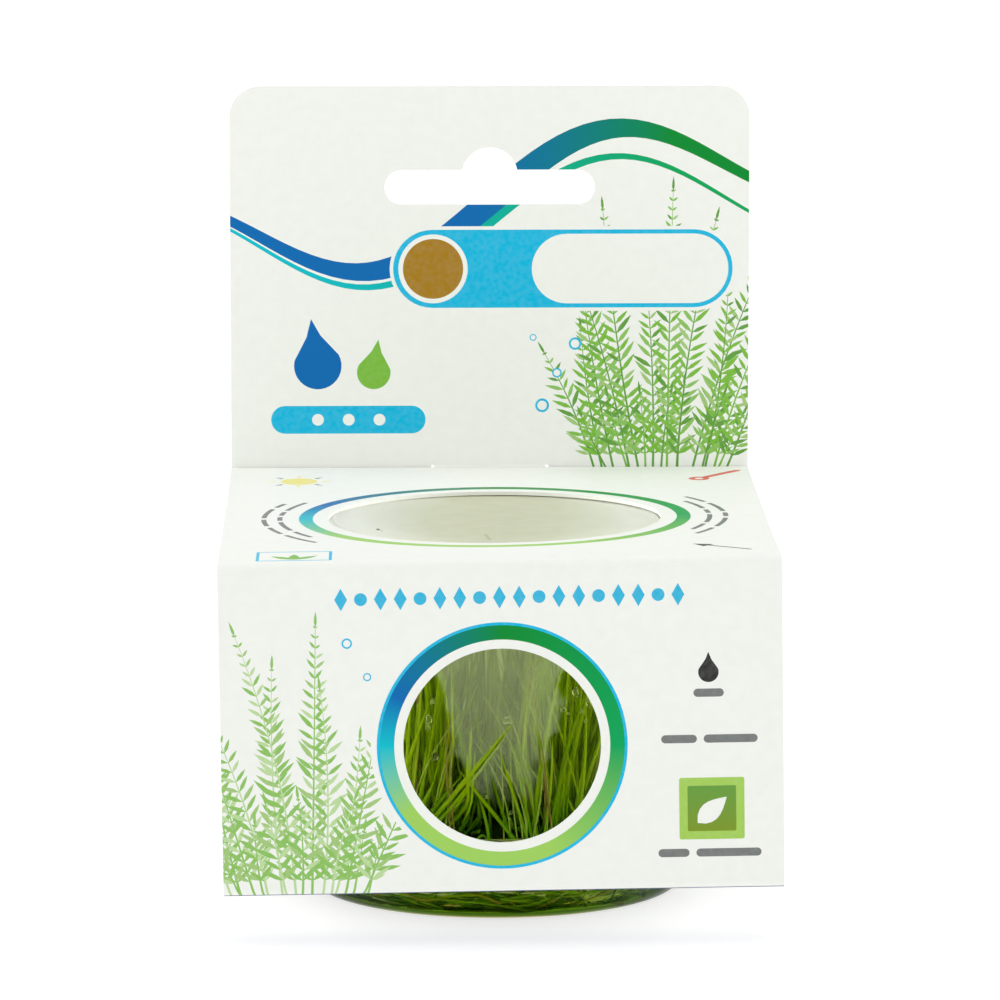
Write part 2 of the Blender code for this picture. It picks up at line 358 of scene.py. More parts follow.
REAR_EDGE = DEPTH / 2 - CARD - GAP
FRONT_BEND = -DEPTH / 2 + BEND
QUARTER = math.pi / 2
BEND_RUN = QUARTER * BEND
TOP_RUN = REAR_EDGE - FRONT_BEND
FRONT_RUN = SLEEVE_TOP - SLEEVE_BOTTOM - 2 * BEND
BOTTOM_RUN = DEPTH - 2 * BEND
BACK_RUN = TAB_TOP - SLEEVE_BOTTOM - BEND
# stretches of the strip in order: length, turn in radians, and how far the middle bulges
RUNS = [(TOP_RUN, 0, TOP_SAG), (BEND_RUN, QUARTER, 0), (FRONT_RUN, 0, FRONT_BOW)]
RUNS += [(BEND_RUN, QUARTER, 0), (BOTTOM_RUN, 0, 0), (BEND_RUN, QUARTER, 0), (BACK_RUN, 0, 0)]
FRONT_START = TOP_RUN + BEND_RUN
BOTTOM_START = FRONT_START + FRONT_RUN + BEND_RUN
BACK_START = BOTTOM_START + BOTTOM_RUN + BEND_RUN
STRIP_END = BACK_START + BACK_RUN


def along_top(y):
    return REAR_EDGE - y


def along_front(z):
    return FRONT_START + SLEEVE_TOP - BEND - z


def along_bottom(y):
    return BOTTOM_START + y - FRONT_BEND


def along_back(z):
    return BACK_START + z - SLEEVE_BOTTOM - BEND


def skewed(x, y, z):
    """Turn a point about the Y axis, not at all at the back and fully at the front."""
    angle = SKEW * min(1, max(0, (DEPTH / 2 - y) / DEPTH))
    rise = z - MIDDLE
    return (
        x * math.cos(angle) - rise * math.sin(angle),
        y,
        MIDDLE + x * math.sin(angle) + rise * math.cos(angle),
    )


def bow(across, share):
    """How much of its bulge a panel has: none at its bends, nearly all over its middle."""
    flat = math.cos(math.pi * max(0, min(1, share))) ** BOW_EVENNESS
    return (1 - flat) * (1 - BOW_SIDE_LOSS * (across / WIDTH) ** 2)


def fold(across, along, depth):
    """The folded place of a point of the strip, at a depth under its outer face."""
    y, z, heading, left = REAR_EDGE, SLEEVE_TOP, math.pi, along
    swell = 0
    for length, turn, bulge in RUNS:
        step = min(left, length)
        if turn:
            end = heading + turn * step / length
            y += BEND * (math.sin(end) - math.sin(heading))
            z -= BEND * (math.cos(end) - math.cos(heading))
            heading = end
        else:
            y += step * math.cos(heading)
            z += step * math.sin(heading)
            swell = bulge * bow(across, step / length)
        left -= step
        if left <= 0:
            break
        swell = 0
    y += (swell - depth) * math.sin(heading)
    z -= (swell - depth) * math.cos(heading)
    return skewed(across, y, z)


print("strip length in mm:", round(STRIP_END, 1))
print("tab top against the model:", round(fold(0, STRIP_END, 0)[2] - cad_box[1].z / MM, 3))

# %% [markdown]
# ## Outlines
# A few small functions draw everything that is cut or printed: arcs, discs, capsules,
# leaves, drops and ribbons. Curve objects could draw them too, but the cutting below
# wants plain points, so each function gives a closed list of points, with only as many
# as its shape needs.

# %% Outline helpers


def arc(centre, radius, start, end, steps):
    """Points on an arc, angles in degrees, both ends included."""
    points = []
    for step in range(steps + 1):
        angle = math.radians(start + (end - start) * step / steps)
        points.append((centre[0] + radius * math.cos(angle), centre[1] + radius * math.sin(angle)))
    return points


def disc(x, y, radius, steps=48):
    return arc((x, y), radius, 0, 360, steps)[:-1]


def capsule(x0, x1, y0, y1, corner=None, steps=10):
    """A bar with round ends, or a box with round corners where a corner is given."""
    corner = min(x1 - x0, y1 - y0) / 2 - 1e-4 if corner is None else corner
    points = arc((x1 - corner, y0 + corner), corner, -90, 0, steps)
    points += arc((x1 - corner, y1 - corner), corner, 0, 90, steps)
    points += arc((x0 + corner, y1 - corner), corner, 90, 180, steps)
    points += arc((x0 + corner, y0 + corner), corner, 180, 270, steps)
    return points


def turned(points, x, y, degrees):
    """Turn a shape about its own origin, then put that origin at (x, y)."""
    cosine, sine = math.cos(math.radians(degrees)), math.sin(math.radians(degrees))
    return [(x + px * cosine - py * sine, y + px * sine + py * cosine) for px, py in points]


def leaf(length, width, steps=7):
    """A pointed oval leaf from the origin along +X."""
    upper = []
    for step in range(steps + 1):
        share = step / steps
        upper.append((length * share, width / 2 * math.sin(math.pi * share ** 0.8)))
    lower = [(px, -py) for px, py in upper[-2:0:-1]]
    return lower[::-1] + upper[::-1]


def drop(radius, steps=20):
    """A water drop with its tip up and its round end at the origin."""
    points = arc((0, 0), radius, -200, 20, steps)
    return points + [(radius * 0.3, radius * 1.25), (0, radius * 2.0), (-radius * 0.3, radius * 1.25)]


def ribbon(path, widths):
    """A band along a path, with its own width at each point."""
    left, right = [], []
    for number, (x, y) in enumerate(path):
        before = path[max(0, number - 1)]
        after = path[min(len(path) - 1, number + 1)]
        dx, dy = after[0] - before[0], after[1] - before[1]
        size = math.hypot(dx, dy)
        half = widths[number] / 2
        left.append((x - dy / size * half, y + dx / size * half))
        right.append((x + dy / size * half, y - dx / size * half))
    return left + right[::-1]


print("points in a leaf:", len(leaf(4, 1.6)))

# %% [markdown]
# ## What is cut out of the strip
# The tab's slot takes a shop hook. The round window shows the plants, the top opening
# shows the lid, and the hole in the bottom panel holds the cup by its taper. A tongue at
# the end of the top panel goes through a slit in the back and locks the sleeve. Boolean
# cutters could open the folded card, but on a flat strip a cut is only one more outline.

# %% Cut lines
TONGUE_HALF = 8.0
TONGUE_REACH = 3.6
TONGUE_CORNER = 1.5
SLIT_HALF = TONGUE_HALF + 0.4
HANG_HALF = 15.0
HANG_RADIUS = 2.5
HANG_HEIGHT = 91.9
BUMP_RADIUS = 4.0
BUMP_DROP = 0.8
WINDOW_RADIUS = 13.0
WINDOW_HEIGHT = 27.0
TOP_HOLE_RADIUS = 22.8
TOP_HOLE_Y = -2.6
CUP_HOLE_RADIUS = 27.34
ROUND_STEPS = 144


def strip_outline():
    half = WIDTH / 2
    tip = TONGUE_CORNER - TONGUE_REACH
    inner = TONGUE_HALF - TONGUE_CORNER
    corner = STRIP_END - TAB_CORNER
    outline = [(-half, 0), (-TONGUE_HALF, 0)]
    outline += arc((-inner, tip), TONGUE_CORNER, 180, 270, 8)
    outline += arc((inner, tip), TONGUE_CORNER, 270, 360, 8)
    outline += [(TONGUE_HALF, 0), (half, 0)]
    outline += arc((half - TAB_CORNER, corner), TAB_CORNER, 0, 90, 16)
    outline += arc((-half + TAB_CORNER, corner), TAB_CORNER, 90, 180, 16)
    return outline


def hang_slot():
    """A slot with round ends and a round bump over its middle, as (x, z) points."""
    end = HANG_HALF - HANG_RADIUS
    lean = math.degrees(math.asin(BUMP_DROP / BUMP_RADIUS))
    bump_z = HANG_HEIGHT + HANG_RADIUS - BUMP_DROP
    points = arc((end, HANG_HEIGHT), HANG_RADIUS, -90, 90, 16)
    points += arc((0, bump_z), BUMP_RADIUS, lean, 180 - lean, 20)
    points += arc((-end, HANG_HEIGHT), HANG_RADIUS, 90, 270, 16)
    return points


def slit():
    low, high = SLEEVE_TOP - CARD - GAP, SLEEVE_TOP + GAP
    return [(-SLIT_HALF, low), (SLIT_HALF, low), (SLIT_HALF, high), (-SLIT_HALF, high)]


CUTS = [
    disc(0, along_top(TOP_HOLE_Y), TOP_HOLE_RADIUS, ROUND_STEPS),
    disc(0, along_front(WINDOW_HEIGHT), WINDOW_RADIUS, ROUND_STEPS),
    disc(0, along_bottom(0), CUP_HOLE_RADIUS, ROUND_STEPS),
    [(x, along_back(z)) for x, z in hang_slot()],
    [(x, along_back(z)) for x, z in slit()],
]
print("cut-outs:", len(CUTS))

# %% [markdown]
# ## What is printed
# Print has no thickness, so it isn't raised. It could be an image on the card. Here each
# motif is an outline that will cut the strip's faces, and the faces inside it get an
# ink, which keeps every edge sharp from any distance. Later motifs cover earlier ones,
# as inks do. The card carries plain shapes alone: rings, capsules, bars, drops, small
# signs and feathery plants.

# %% A list of motifs
OUTER, INNER = "outer", "inner"
PLACES = {
    "top": (OUTER, along_top),
    "front": (OUTER, along_front),
    "tab": (INNER, along_back),
    "back": (OUTER, along_back),
}
motifs = []


def stamp(place, ink, outline):
    """Print an outline, drawn in the panel's own x and y or z, in one ink."""
    side, along = PLACES[place]
    motifs.append((side, ink, [(x, along(v)) for x, v in outline]))


def ring(place, ink, x, y, outer, inner, steps=96):
    stamp(place, ink, disc(x, y, outer, steps))
    stamp(place, "board", disc(x, y, inner, steps))


print("panels that can be printed:", list(PLACES))

# %% [markdown]
# ### Feathery plants
# Two panels carry a spray of fine greenery. It could be a painted picture. Here each
# frond is a thin ribbon on a gentle curve, with pairs of narrow leaflets that get shorter
# towards its tip, as on a fern, because a rule and a random seed draw hundreds of leaflets
# that all differ. The fronds stand close together at the foot and thin out upwards.

# %% Draw the fronds
LEAFLET_STEP = 1.35
LEAFLET_LENGTH = 3.4
LEAFLET_SPREAD = (36, 58)
STEM_WIDTH = 0.34
TAPER_FROM, TAPER_RUN = 0.22, 0.75
LIGHT_GREENS = ("leaf_mid", "leaf_pale", "leaf_mid", "leaf_soft")
FRESH_GREENS = ("leaf_deep", "leaf_fresh", "leaf_mid", "leaf_fresh", "leaf_soft")


def frond(place, foot, lean, height, curl, greens, chance):
    """One frond, from its foot upwards. lean and curl are in degrees."""
    joints = max(6, int(height / LEAFLET_STEP))
    heading, (x, y) = 90 - lean, foot
    path, turns = [(x, y)], [heading]
    while len(path) <= joints:
        heading -= curl / joints
        x += height / joints * math.cos(math.radians(heading))
        y += height / joints * math.sin(math.radians(heading))
        path.append((x, y))
        turns.append(heading)
    widths = [STEM_WIDTH * (1 - 0.8 * number / joints) for number in range(joints + 1)]
    stamp(place, greens[chance.integers(2)], ribbon(path, widths))
    for number in range(2, joints + 1):
        taper = math.sin(math.pi * (TAPER_FROM + TAPER_RUN * number / joints)) ** 0.8
        for side in (-1, 1):
            size = LEAFLET_LENGTH * taper * chance.uniform(0.7, 1.1)
            shape = leaf(size, 0.2 + size * 0.14, 3)
            spread = side * chance.uniform(*LEAFLET_SPREAD)
            ink = greens[chance.integers(len(greens))]
            stamp(place, ink, turned(shape, *path[number], turns[number] + spread))
    stamp(place, greens[0], turned(leaf(2.2, 0.4, 3), *path[-1], turns[-1]))


def frond_field(place, count, x_range, ground, heights, lean, greens, seed):
    """A row of fronds that lean away from its middle. heights are for the edges and middle."""
    chance = np.random.default_rng(seed)
    for number in range(count):
        share = (number + chance.uniform(0.2, 0.8)) / count
        middle = math.sin(math.pi * share)
        height = heights[0] + (heights[1] - heights[0]) * middle * chance.uniform(0.35, 1.0)
        x = x_range[0] + (x_range[1] - x_range[0]) * share
        tilt = lean * (2 * share - 1) + chance.uniform(-7, 7)
        frond(place, (x, ground), tilt, height, chance.uniform(-18, 18), greens, chance)


def bubbles(place, spots):
    """Rising bubbles: small open rings."""
    for x, y, radius in spots:
        ring(place, "sky", x, y, radius, radius * 0.68, 20)


print("leaflets on a frond of 30 mm:", 2 * int(30 / LEAFLET_STEP))

# %% [markdown]
# ### The tab
# A blue to green ribbon waves over the tab, with a wide capsule that has a white field
# and a brown dot, a short capsule with three dots, a pair of drops and more fronds. They
# could be one drawing laid over the board. Here each shape has its own place and size in
# millimetres of the card, so that one can be moved without touching the others.

# %% Print the tab
WAVE_FOOT, WAVE_RISE = 84, 12
WAVE_SWING = 7.5
WAVE_TURNS, WAVE_START = 1.15, 0.42
WAVE_STEPS = 44
RIBBON_THIN, RIBBON_SWELL = 1.1, 2.6
# capsules: from x, to x, from z, to z
PRICE_EDGE = (-14.3, 35.2, 74.1, 86.3)
PRICE_BAR = (-13.8, 34.7, 74.6, 85.8)
PRICE_FIELD = (6.0, 34.1, 75.2, 85.2)
BADGE_BAR = (-31.3, -9.2, 56.5, 60.5)
BADGE_DOT, BADGE_STEP = (-24.6, 58.5), 4.4
PRICE_DOT = (-8.1, 80.2)
TAB_BUBBLES = [(7.5, 60.5, 1.0), (9.6, 65.2, 0.7), (12.2, 69.4, 0.9), (6.2, 70.3, 0.5)]


def tab_wave():
    """The ribbon's middle line, from past the tab's left edge to past its right edge."""
    left, right = -WIDTH / 2 - 1, WIDTH / 2 + 1
    path = []
    for step in range(WAVE_STEPS + 1):
        share = step / WAVE_STEPS
        swing = WAVE_SWING * math.sin(2 * math.pi * (WAVE_TURNS * share + WAVE_START))
        path.append((left + (right - left) * share, WAVE_FOOT + WAVE_RISE * share + swing))
    return path


def print_ribbon():
    path = tab_wave()
    middle = len(path) / 2
    widths = [RIBBON_THIN + RIBBON_SWELL * math.exp(-((n - middle) / 15) ** 2) for n in range(len(path))]
    stamp("tab", "tab_ribbon", ribbon(path, widths))
    below = [(x, z - 3.1 - 0.05 * x) for x, z in path]
    stamp("tab", "tab_ribbon_light", ribbon(below, [width * 0.32 for width in widths]))


def print_tab():
    print_ribbon()
    ground = SLEEVE_TOP - 1
    frond_field("tab", 12, (14, 35), ground, (15, 44), lean=20, greens=FRESH_GREENS, seed=21)
    frond_field("tab", 7, (16, 34), ground, (8, 16), lean=26, greens=FRESH_GREENS, seed=22)
    bubbles("tab", TAB_BUBBLES)
    stamp("tab", "board", capsule(*PRICE_EDGE))
    stamp("tab", "sky", capsule(*PRICE_BAR))
    stamp("tab", "board", capsule(*PRICE_FIELD))
    stamp("tab", "board", disc(*PRICE_DOT, 4.95))
    stamp("tab", "brown", disc(*PRICE_DOT, 4.3))
    stamp("tab", "sky", capsule(*BADGE_BAR))
    for number in range(3):
        stamp("tab", "board", disc(BADGE_DOT[0] + BADGE_STEP * number, BADGE_DOT[1], 0.85, 24))
    stamp("tab", "tab_ribbon", turned(drop(3.4), -24.6, 66.3, 8))
    stamp("tab", "leaf_fresh", turned(drop(2.4), -16.6, 65.3, -8))


print_tab()
print("motifs on the tab:", len(motifs))

# %% [markdown]
# ### The back
# The back is out of sight in a shop and could stay bare, but a finished piece has no
# blank side. So it gets a band, three leaves in a ring and rows of grey bars, which a
# loop and a few shapes draw.

# %% Print the back
BAND = (-37, 37, 96.6, 98.2)
NOTE_ROWS, NOTE_TOP, NOTE_STEP, NOTE_HALF = 5, 44, 4.6, 0.6
EMBLEM_Z, EMBLEM_FOOT = 72, 67.5


def print_back():
    stamp("back", "sky", capsule(*BAND, 0.01, 1))
    for row in range(NOTE_ROWS):
        z = NOTE_TOP - NOTE_STEP * row
        for x0, x1 in ((-28, -22), (-20, 26 - 5 * (row % 3))):
            stamp("back", "grey", capsule(x0, x1, z - NOTE_HALF, z + NOTE_HALF))
    ring("back", "leaf_fresh", 0, EMBLEM_Z, 9.5, 8.2)
    stamp("back", "leaf_fresh", turned(leaf(9, 3.6), 0, EMBLEM_FOOT, 90))
    stamp("back", "sky", turned(leaf(7, 2.6), 0, EMBLEM_FOOT, 138))
    stamp("back", "sky", turned(leaf(7, 2.6), 0, EMBLEM_FOOT, 42))


print_back()
print("motifs with the back:", len(motifs))

# %% [markdown]
# ### The front
# An even ring runs round the window, from blue through green to lime. A row of beads and
# lozenges stands over it, and a drop, plain bars and a leaf tile stand at its right. They
# could be placed by eye in a drawing program. Here each is a shape with a named place, so
# that the layout can be measured against the window and the card's edges.

# %% Print the front
WINDOW_WHITE, WINDOW_LINE = 17.3, 16.5
WINDOW_RING = (16.1, 14.2)
TITLE_LEFT, TITLE_Z, TITLE_STEP, TITLE_BEADS = -20.9, 46.8, 2.6, 18
BEAD_RADIUS, LOZENGE_RISE = 0.85, 1.5
NOTE_BARS = ((27.5, 20.9, 25.6), (27.5, 26.5, 33.6), (12.2, 20.4, 24.5), (12.2, 25.4, 34.0))
BAR_HALF = 0.55
TILE_EDGE = (23.2, 31.8, 14.0, 22.3)
TILE = (24.3, 30.7, 15.1, 21.2)
FRONT_BUBBLES = [(-15.8, 31.0, 0.8), (-17.6, 36.5, 0.55), (-20.2, 41.0, 0.7)]


def print_title():
    for number in range(TITLE_BEADS):
        x, low, high = TITLE_LEFT + TITLE_STEP * number, TITLE_Z - LOZENGE_RISE, TITLE_Z + LOZENGE_RISE
        if number % 3 == 1:
            bead = disc(x, TITLE_Z, BEAD_RADIUS, 24)
        else:
            bead = [(x - BEAD_RADIUS, TITLE_Z), (x, low), (x + BEAD_RADIUS, TITLE_Z), (x, high)]
        stamp("front", "title", bead)


def print_front():
    ground = SLEEVE_BOTTOM - 0.6
    frond_field("front", 11, (-37, -18), ground, (15, 38), lean=18, greens=LIGHT_GREENS, seed=5)
    frond_field("front", 7, (-36, -16), ground, (7, 16), lean=24, greens=LIGHT_GREENS, seed=6)
    bubbles("front", FRONT_BUBBLES)
    stamp("front", "board", disc(0, WINDOW_HEIGHT, WINDOW_WHITE, 96))
    stamp("front", "sky", disc(0, WINDOW_HEIGHT, WINDOW_LINE, 120))
    ring("front", "window_ring", 0, WINDOW_HEIGHT, *WINDOW_RING, 120)
    print_title()
    stamp("front", "dark", turned(drop(1.35), 27.2, 36.4, 0))
    stamp("front", "grey", capsule(25.2, 29.2, 33.1, 34.2))
    for z, x0, x1 in NOTE_BARS:
        stamp("front", "grey", capsule(x0, x1, z - BAR_HALF, z + BAR_HALF))
    stamp("front", "lime", capsule(*TILE_EDGE, 0.3, 3))
    stamp("front", "tile", capsule(*TILE, 0.2, 3))
    stamp("front", "board", turned(leaf(5.2, 2.6), 25.6, 16.2, 42))


print_front()
print("motifs with the front:", len(motifs))

# %% [markdown]
# ### The top and the bottom fold
# A ring runs round the top opening too, with broken arcs at both sides of it, and four
# small signs stand in the corners: a sun, a thermometer, a box of leaves and an arrow.
# They could be drawn straight on to the panel. Here each sign is a function of the place
# that it is given, so that it can be moved without being drawn again. A dark blue edge
# under the front fold shows as a thin line from the front.

# %% Print the top and the bottom fold
TOP_RING = (26.8, 24.9)
# broken arcs: radius, from and to in degrees
TOP_ARCS = ((29.4, 152, 204), (31.6, 156, 210), (29.4, -26, 26), (31.6, -32, 24))
ARC_WIDTH, ARC_BREAK = 0.7, 2.5
ARROW_TURN = -40
NAVY_END_Y = -34


def sun(x, y):
    stamp("top", "yellow", disc(x, y, 2.6, 32))
    for number in range(8):
        shape = [(3.3, -0.35), (4.9, 0), (3.3, 0.35)]
        stamp("top", "grey" if number % 2 else "yellow", turned(shape, x, y, 45 * number))


def thermometer(x, y):
    stamp("top", "red", disc(x, y, 1.5, 24))
    stamp("top", "red", turned(capsule(0, 9.5, -0.55, 0.55), x, y, 50))
    stamp("top", "board", disc(x, y, 0.6, 16))


def leaf_box(x, y):
    stamp("top", "sky", capsule(x - 5, x + 5, y - 4, y + 4, 0.2, 2))
    stamp("top", "board", capsule(x - 4.6, x + 4.6, y - 3.6, y + 3.6, 0.1, 2))
    for degrees in (45, 90, 135):
        stamp("top", "leaf_fresh", turned(leaf(4.4, 1.4), x, y - 3.0, degrees))


def arrow(x, y):
    stamp("top", "dark", turned(capsule(0, 9, -0.25, 0.25), x, y, ARROW_TURN))
    stamp("top", "dark", turned([(-0.8, 0), (1.9, -1.2), (1.9, 1.2)], x, y, ARROW_TURN))


def print_top():
    ring("top", "top_ring", 0, TOP_HOLE_Y, *TOP_RING, 120)
    for radius, degrees, last in TOP_ARCS:
        while degrees < last:
            span = 6 + 4 * (int(degrees) % 3)
            path = arc((0, TOP_HOLE_Y), radius, degrees, degrees + span, 4)
            stamp("top", "grey", ribbon(path, [ARC_WIDTH] * len(path)))
            degrees += span + ARC_BREAK
    sun(-27.2, 29.5)
    thermometer(29.5, 30.5)
    leaf_box(-27.0, -35.0)
    arrow(26.5, -29.5)


def print_bottom():
    """A dark blue edge under the front fold, which shows as a thin line from the front."""
    edge = along_front(SLEEVE_BOTTOM + BEND) + BEND_RUN * 0.62
    end = along_bottom(NAVY_END_Y)
    half = WIDTH / 2
    motifs.append((OUTER, "navy", [(-half, edge), (half, edge), (half, end), (-half, end)]))


print_top()
print_bottom()
print("motifs:", len(motifs))

# %% [markdown]
# ## Cutting and folding the strip
# A constrained Delaunay triangulation takes every outline at once and gives triangles
# that never cross one, so each triangle lies wholly in or out of an outline. The cut-outs
# are dropped and the inks are chosen after it. Boolean cutters would need a pass for each
# of the hundreds of motifs.

# %% Triangulate the strip
BEND_STEPS = 10
BEND_MARGIN = 0.7
GRID = 6.0
GRID_COLUMNS = 12
MERGE_DISTANCE = 1e-5


def cross_lines():
    """Where the strip is divided across its length: finely in its bends."""
    lines, start = [], 0.0
    for length, turn, bulge in RUNS:
        if turn:
            lines += [start + length * step / BEND_STEPS for step in range(BEND_STEPS + 1)]
            lines += [start - BEND_MARGIN, start + length + BEND_MARGIN]
        else:
            count = round(length / GRID)
            lines += [start + length * step / count for step in range(1, count)]
        start += length
    return lines


def triangulate():
    """The strip's points and its triangles, sorted along it. None crosses an outline."""
    outlines = [strip_outline()] + CUTS + [outline for side, ink, outline in motifs]
    points, edges = [], []
    for outline in outlines:
        numbers = list(range(len(points), len(points) + len(outline)))
        edges += zip(numbers, numbers[1:] + numbers[:1])
        points += outline
    reach = WIDTH / 2 + 1
    bars = [((-reach, line), (reach, line)) for line in cross_lines()]
    for number in range(1, GRID_COLUMNS):
        x = -WIDTH / 2 + WIDTH * number / GRID_COLUMNS
        bars.append(((x, -1), (x, STRIP_END - 0.5)))
    for bar in bars:
        edges.append((len(points), len(points) + 1))
        points += bar
    made = delaunay_2d_cdt([Vector(point) for point in points], edges, [], 0, MERGE_DISTANCE, False)
    places, corners = np.array([tuple(point) for point in made[0]]), np.array(made[2])
    order = np.argsort(places[corners].mean(1)[:, 1])
    return places, corners[order]


def inside(outline, spots):
    """Which spots, sorted along the strip, lie in an outline.

    A ray from a spot inside crosses the outline an odd number of times.
    """
    corners = np.array(outline)
    ends = corners[:, 1].min(), corners[:, 1].max()
    first, last = np.searchsorted(spots[:, 1], ends)
    x, y = spots[first:last].T
    odd = np.zeros(len(x), bool)
    for (x0, y0), (x1, y1) in zip(corners, np.roll(corners, -1, 0)):
        if y0 != y1:
            odd ^= ((y0 > y) != (y1 > y)) & (x < x0 + (y - y0) * (x1 - x0) / (y1 - y0))
    return first + np.flatnonzero(odd)


flat_points, triangles = triangulate()
print("flat points and triangles:", len(flat_points), len(triangles))

# %% [markdown]
# ### From flat triangles to a sleeve
# A modifier could bend the sheet, but it would need a pivot for each fold and stretch
# the board. Instead every kept triangle is made twice, on the printed face and on the
# inner face, each point is carried to its folded place, and the cut edges are closed
# between the two.

# %% Fold it into the sleeve


def ink_faces():
    """Keep the triangles of the board, and name the ink on both of their sides."""
    middles = flat_points[triangles].mean(1)
    kept = np.zeros(len(triangles), bool)
    kept[inside(strip_outline(), middles)] = True
    for cut in CUTS:
        kept[inside(cut, middles)] = False
    names = ["board"]
    inks = {OUTER: np.zeros(len(triangles), int), INNER: np.zeros(len(triangles), int)}
    for side, ink, outline in motifs:
        if ink not in names:
            names.append(ink)
        inks[side][inside(outline, middles)] = names.index(ink)
    return triangles[kept], inks[OUTER][kept], inks[INNER][kept], names


def build_sleeve():
    """One closed mesh: printed face, inner face and the cut edges between them."""
    kept, outer_inks, inner_inks, names = ink_faces()
    used, faces = np.unique(kept, return_inverse=True)
    faces = faces.reshape(-1, 3)
    count = len(used)
    places = [fold(*point, 0) for point in flat_points[used]]
    places += [fold(*point, CARD) for point in flat_points[used]]
    edges = np.concatenate([faces[:, [0, 1]], faces[:, [1, 2]], faces[:, [2, 0]]]).tolist()
    known = {(a, b) for a, b in edges}
    walls = [(a, b, b + count, a + count) for a, b in edges if (b, a) not in known]
    polygons = faces[:, ::-1].tolist() + (faces + count).tolist() + walls
    slots = np.concatenate([outer_inks, inner_inks, np.zeros(len(walls), int)])
    mesh = bpy.data.meshes.new("card_sleeve_printed")
    mesh.from_pydata([[value * MM for value in spot] for spot in places], [], polygons)
    mesh.polygons.foreach_set("material_index", slots.tolist())
    return mesh, names


sleeve_mesh, sleeve_inks = build_sleeve()
print("sleeve faces and inks:", len(sleeve_mesh.polygons), len(sleeve_inks))

# %% [markdown]
# ## Board and ink finishes
# White board is never one flat colour: it has a faint cloudy mottle and a very fine
# fibre. Both could come from a scanned texture, but noise has no seams and no edge. Ink
# sits on the same board, so each ink uses the same bump with its own colour, a little
# uneven, and a little smoother than the bare board.

# %% Board and plain inks
BOARD_LIGHT = linear(243, 245, 239)
BOARD_DARK = linear(240, 242, 236)
BOARD_ROUGHNESS = 0.5
INK_ROUGHNESS = 0.38
ROUGHNESS_SWING = 0.05
CARD_SHINE = 0.14
FIBRE_SIZE, FIBRE_DEPTH = 0.00035, 0.000006
INK_COLOURS = {
    "sky": (0, 183, 224), "title": (48, 182, 220), "brown": (165, 122, 14), "navy": (24, 52, 110),
    "grey": (118, 122, 120), "dark": (40, 40, 38), "lime": (163, 205, 88), "red": (222, 96, 84),
    "yellow": (240, 228, 130), "leaf_mid": (138, 192, 92), "leaf_pale": (186, 216, 156),
    "leaf_deep": (96, 158, 56), "leaf_fresh": (122, 186, 58), "leaf_soft": (160, 198, 120),
}


def printed_material(name, colour):
    return plain_material(name, colour, INK_ROUGHNESS, Specular_IOR_Level=CARD_SHINE)


def finish_print(material, colour, roughness=INK_ROUGHNESS):
    """Link a colour, the board's fine fibre and a slightly uneven gloss."""
    tree = material.node_tree
    gloss = uneven(tree, 0.004, roughness - ROUGHNESS_SWING, roughness + ROUGHNESS_SWING)
    fibre = bump(tree, noise(tree, FIBRE_SIZE, 4.0), FIBRE_DEPTH, 0.5)
    feed(material, Base_Color=colour, Normal=fibre, Roughness=gloss)
    return material


def board_material():
    material = printed_material("white_board", BOARD_LIGHT)
    tree = material.node_tree
    colour = ramp(tree, noise(tree, 0.0016, 5.0), [(0.3, BOARD_DARK), (0.7, BOARD_LIGHT)])
    return finish_print(material, colour, BOARD_ROUGHNESS)


def ink_material(name):
    """A flat ink with a faint mottle in its density."""
    colour = linear(*INK_COLOURS[name])
    material = printed_material("ink_" + name, colour)
    tree = material.node_tree
    pale = tuple(part + (1 - part) * 0.05 for part in colour)
    return finish_print(material, ramp(tree, noise(tree, 0.0007, 4.0), [(0.35, colour), (0.75, pale)]))


print("plain inks:", len(INK_COLOURS))

# %% [markdown]
# ### Inks that change colour
# The rings and the ribbon run from one ink into the next. Many thin faces in slightly
# different inks would show as bands, so the finish itself works the colour out: from the
# angle round a ring's centre, or from the place along one axis.

# %% Rings, ribbon and tile
BLUE, CYAN, GREEN = linear(0, 106, 178), linear(0, 190, 205), linear(0, 138, 48)
SPRING, LIME = linear(0, 165, 90), linear(160, 208, 96)
TILE_LOW, TILE_HIGH = linear(126, 150, 40), linear(104, 158, 66)
RING_STOPS = [(0.0, CYAN), (0.1, LIME), (0.32, LIME), (0.5, SPRING), (0.75, GREEN), (0.93, BLUE), (1, CYAN)]
RIBBON_STOPS = [(0, BLUE), (0.5, BLUE), (1, GREEN)]
RIBBON_RANGE = (-30, 26)
# the axis that goes with x round each ring, and its centre there in millimetres
RING_INKS = {"window_ring": (2, WINDOW_HEIGHT), "top_ring": (1, TOP_HOLE_Y)}
# the axis that each colour slides along, from and to in millimetres, and its stops
SLIDING_INKS = {
    "tab_ribbon": (0, RIBBON_RANGE, RIBBON_STOPS),
    "tab_ribbon_light": (0, RIBBON_RANGE, [(0, CYAN), (1, SPRING)]),
    "tile": (2, (15, 21.5), [(0, TILE_LOW), (1, TILE_HIGH)]),
}


def turning_ink(name, axis, centre):
    """An ink whose colour turns with the angle round a ring's centre."""
    material = printed_material("ink_" + name, BLUE)
    tree = material.node_tree
    axes = axes_of(tree)
    rise = math_node(tree, "SUBTRACT", axes[axis], centre * MM)
    share = remap(tree, math_node(tree, "ARCTAN2", rise, axes[0]), -math.pi, math.pi, 0, 1)
    return finish_print(material, ramp(tree, share, RING_STOPS))


def sliding_ink(name, axis, reach, stops):
    """An ink whose colour slides along one axis."""
    material = printed_material("ink_" + name, BLUE)
    tree = material.node_tree
    share = remap(tree, axes_of(tree)[axis], reach[0] * MM, reach[1] * MM, 0, 1)
    return finish_print(material, ramp(tree, share, stops))


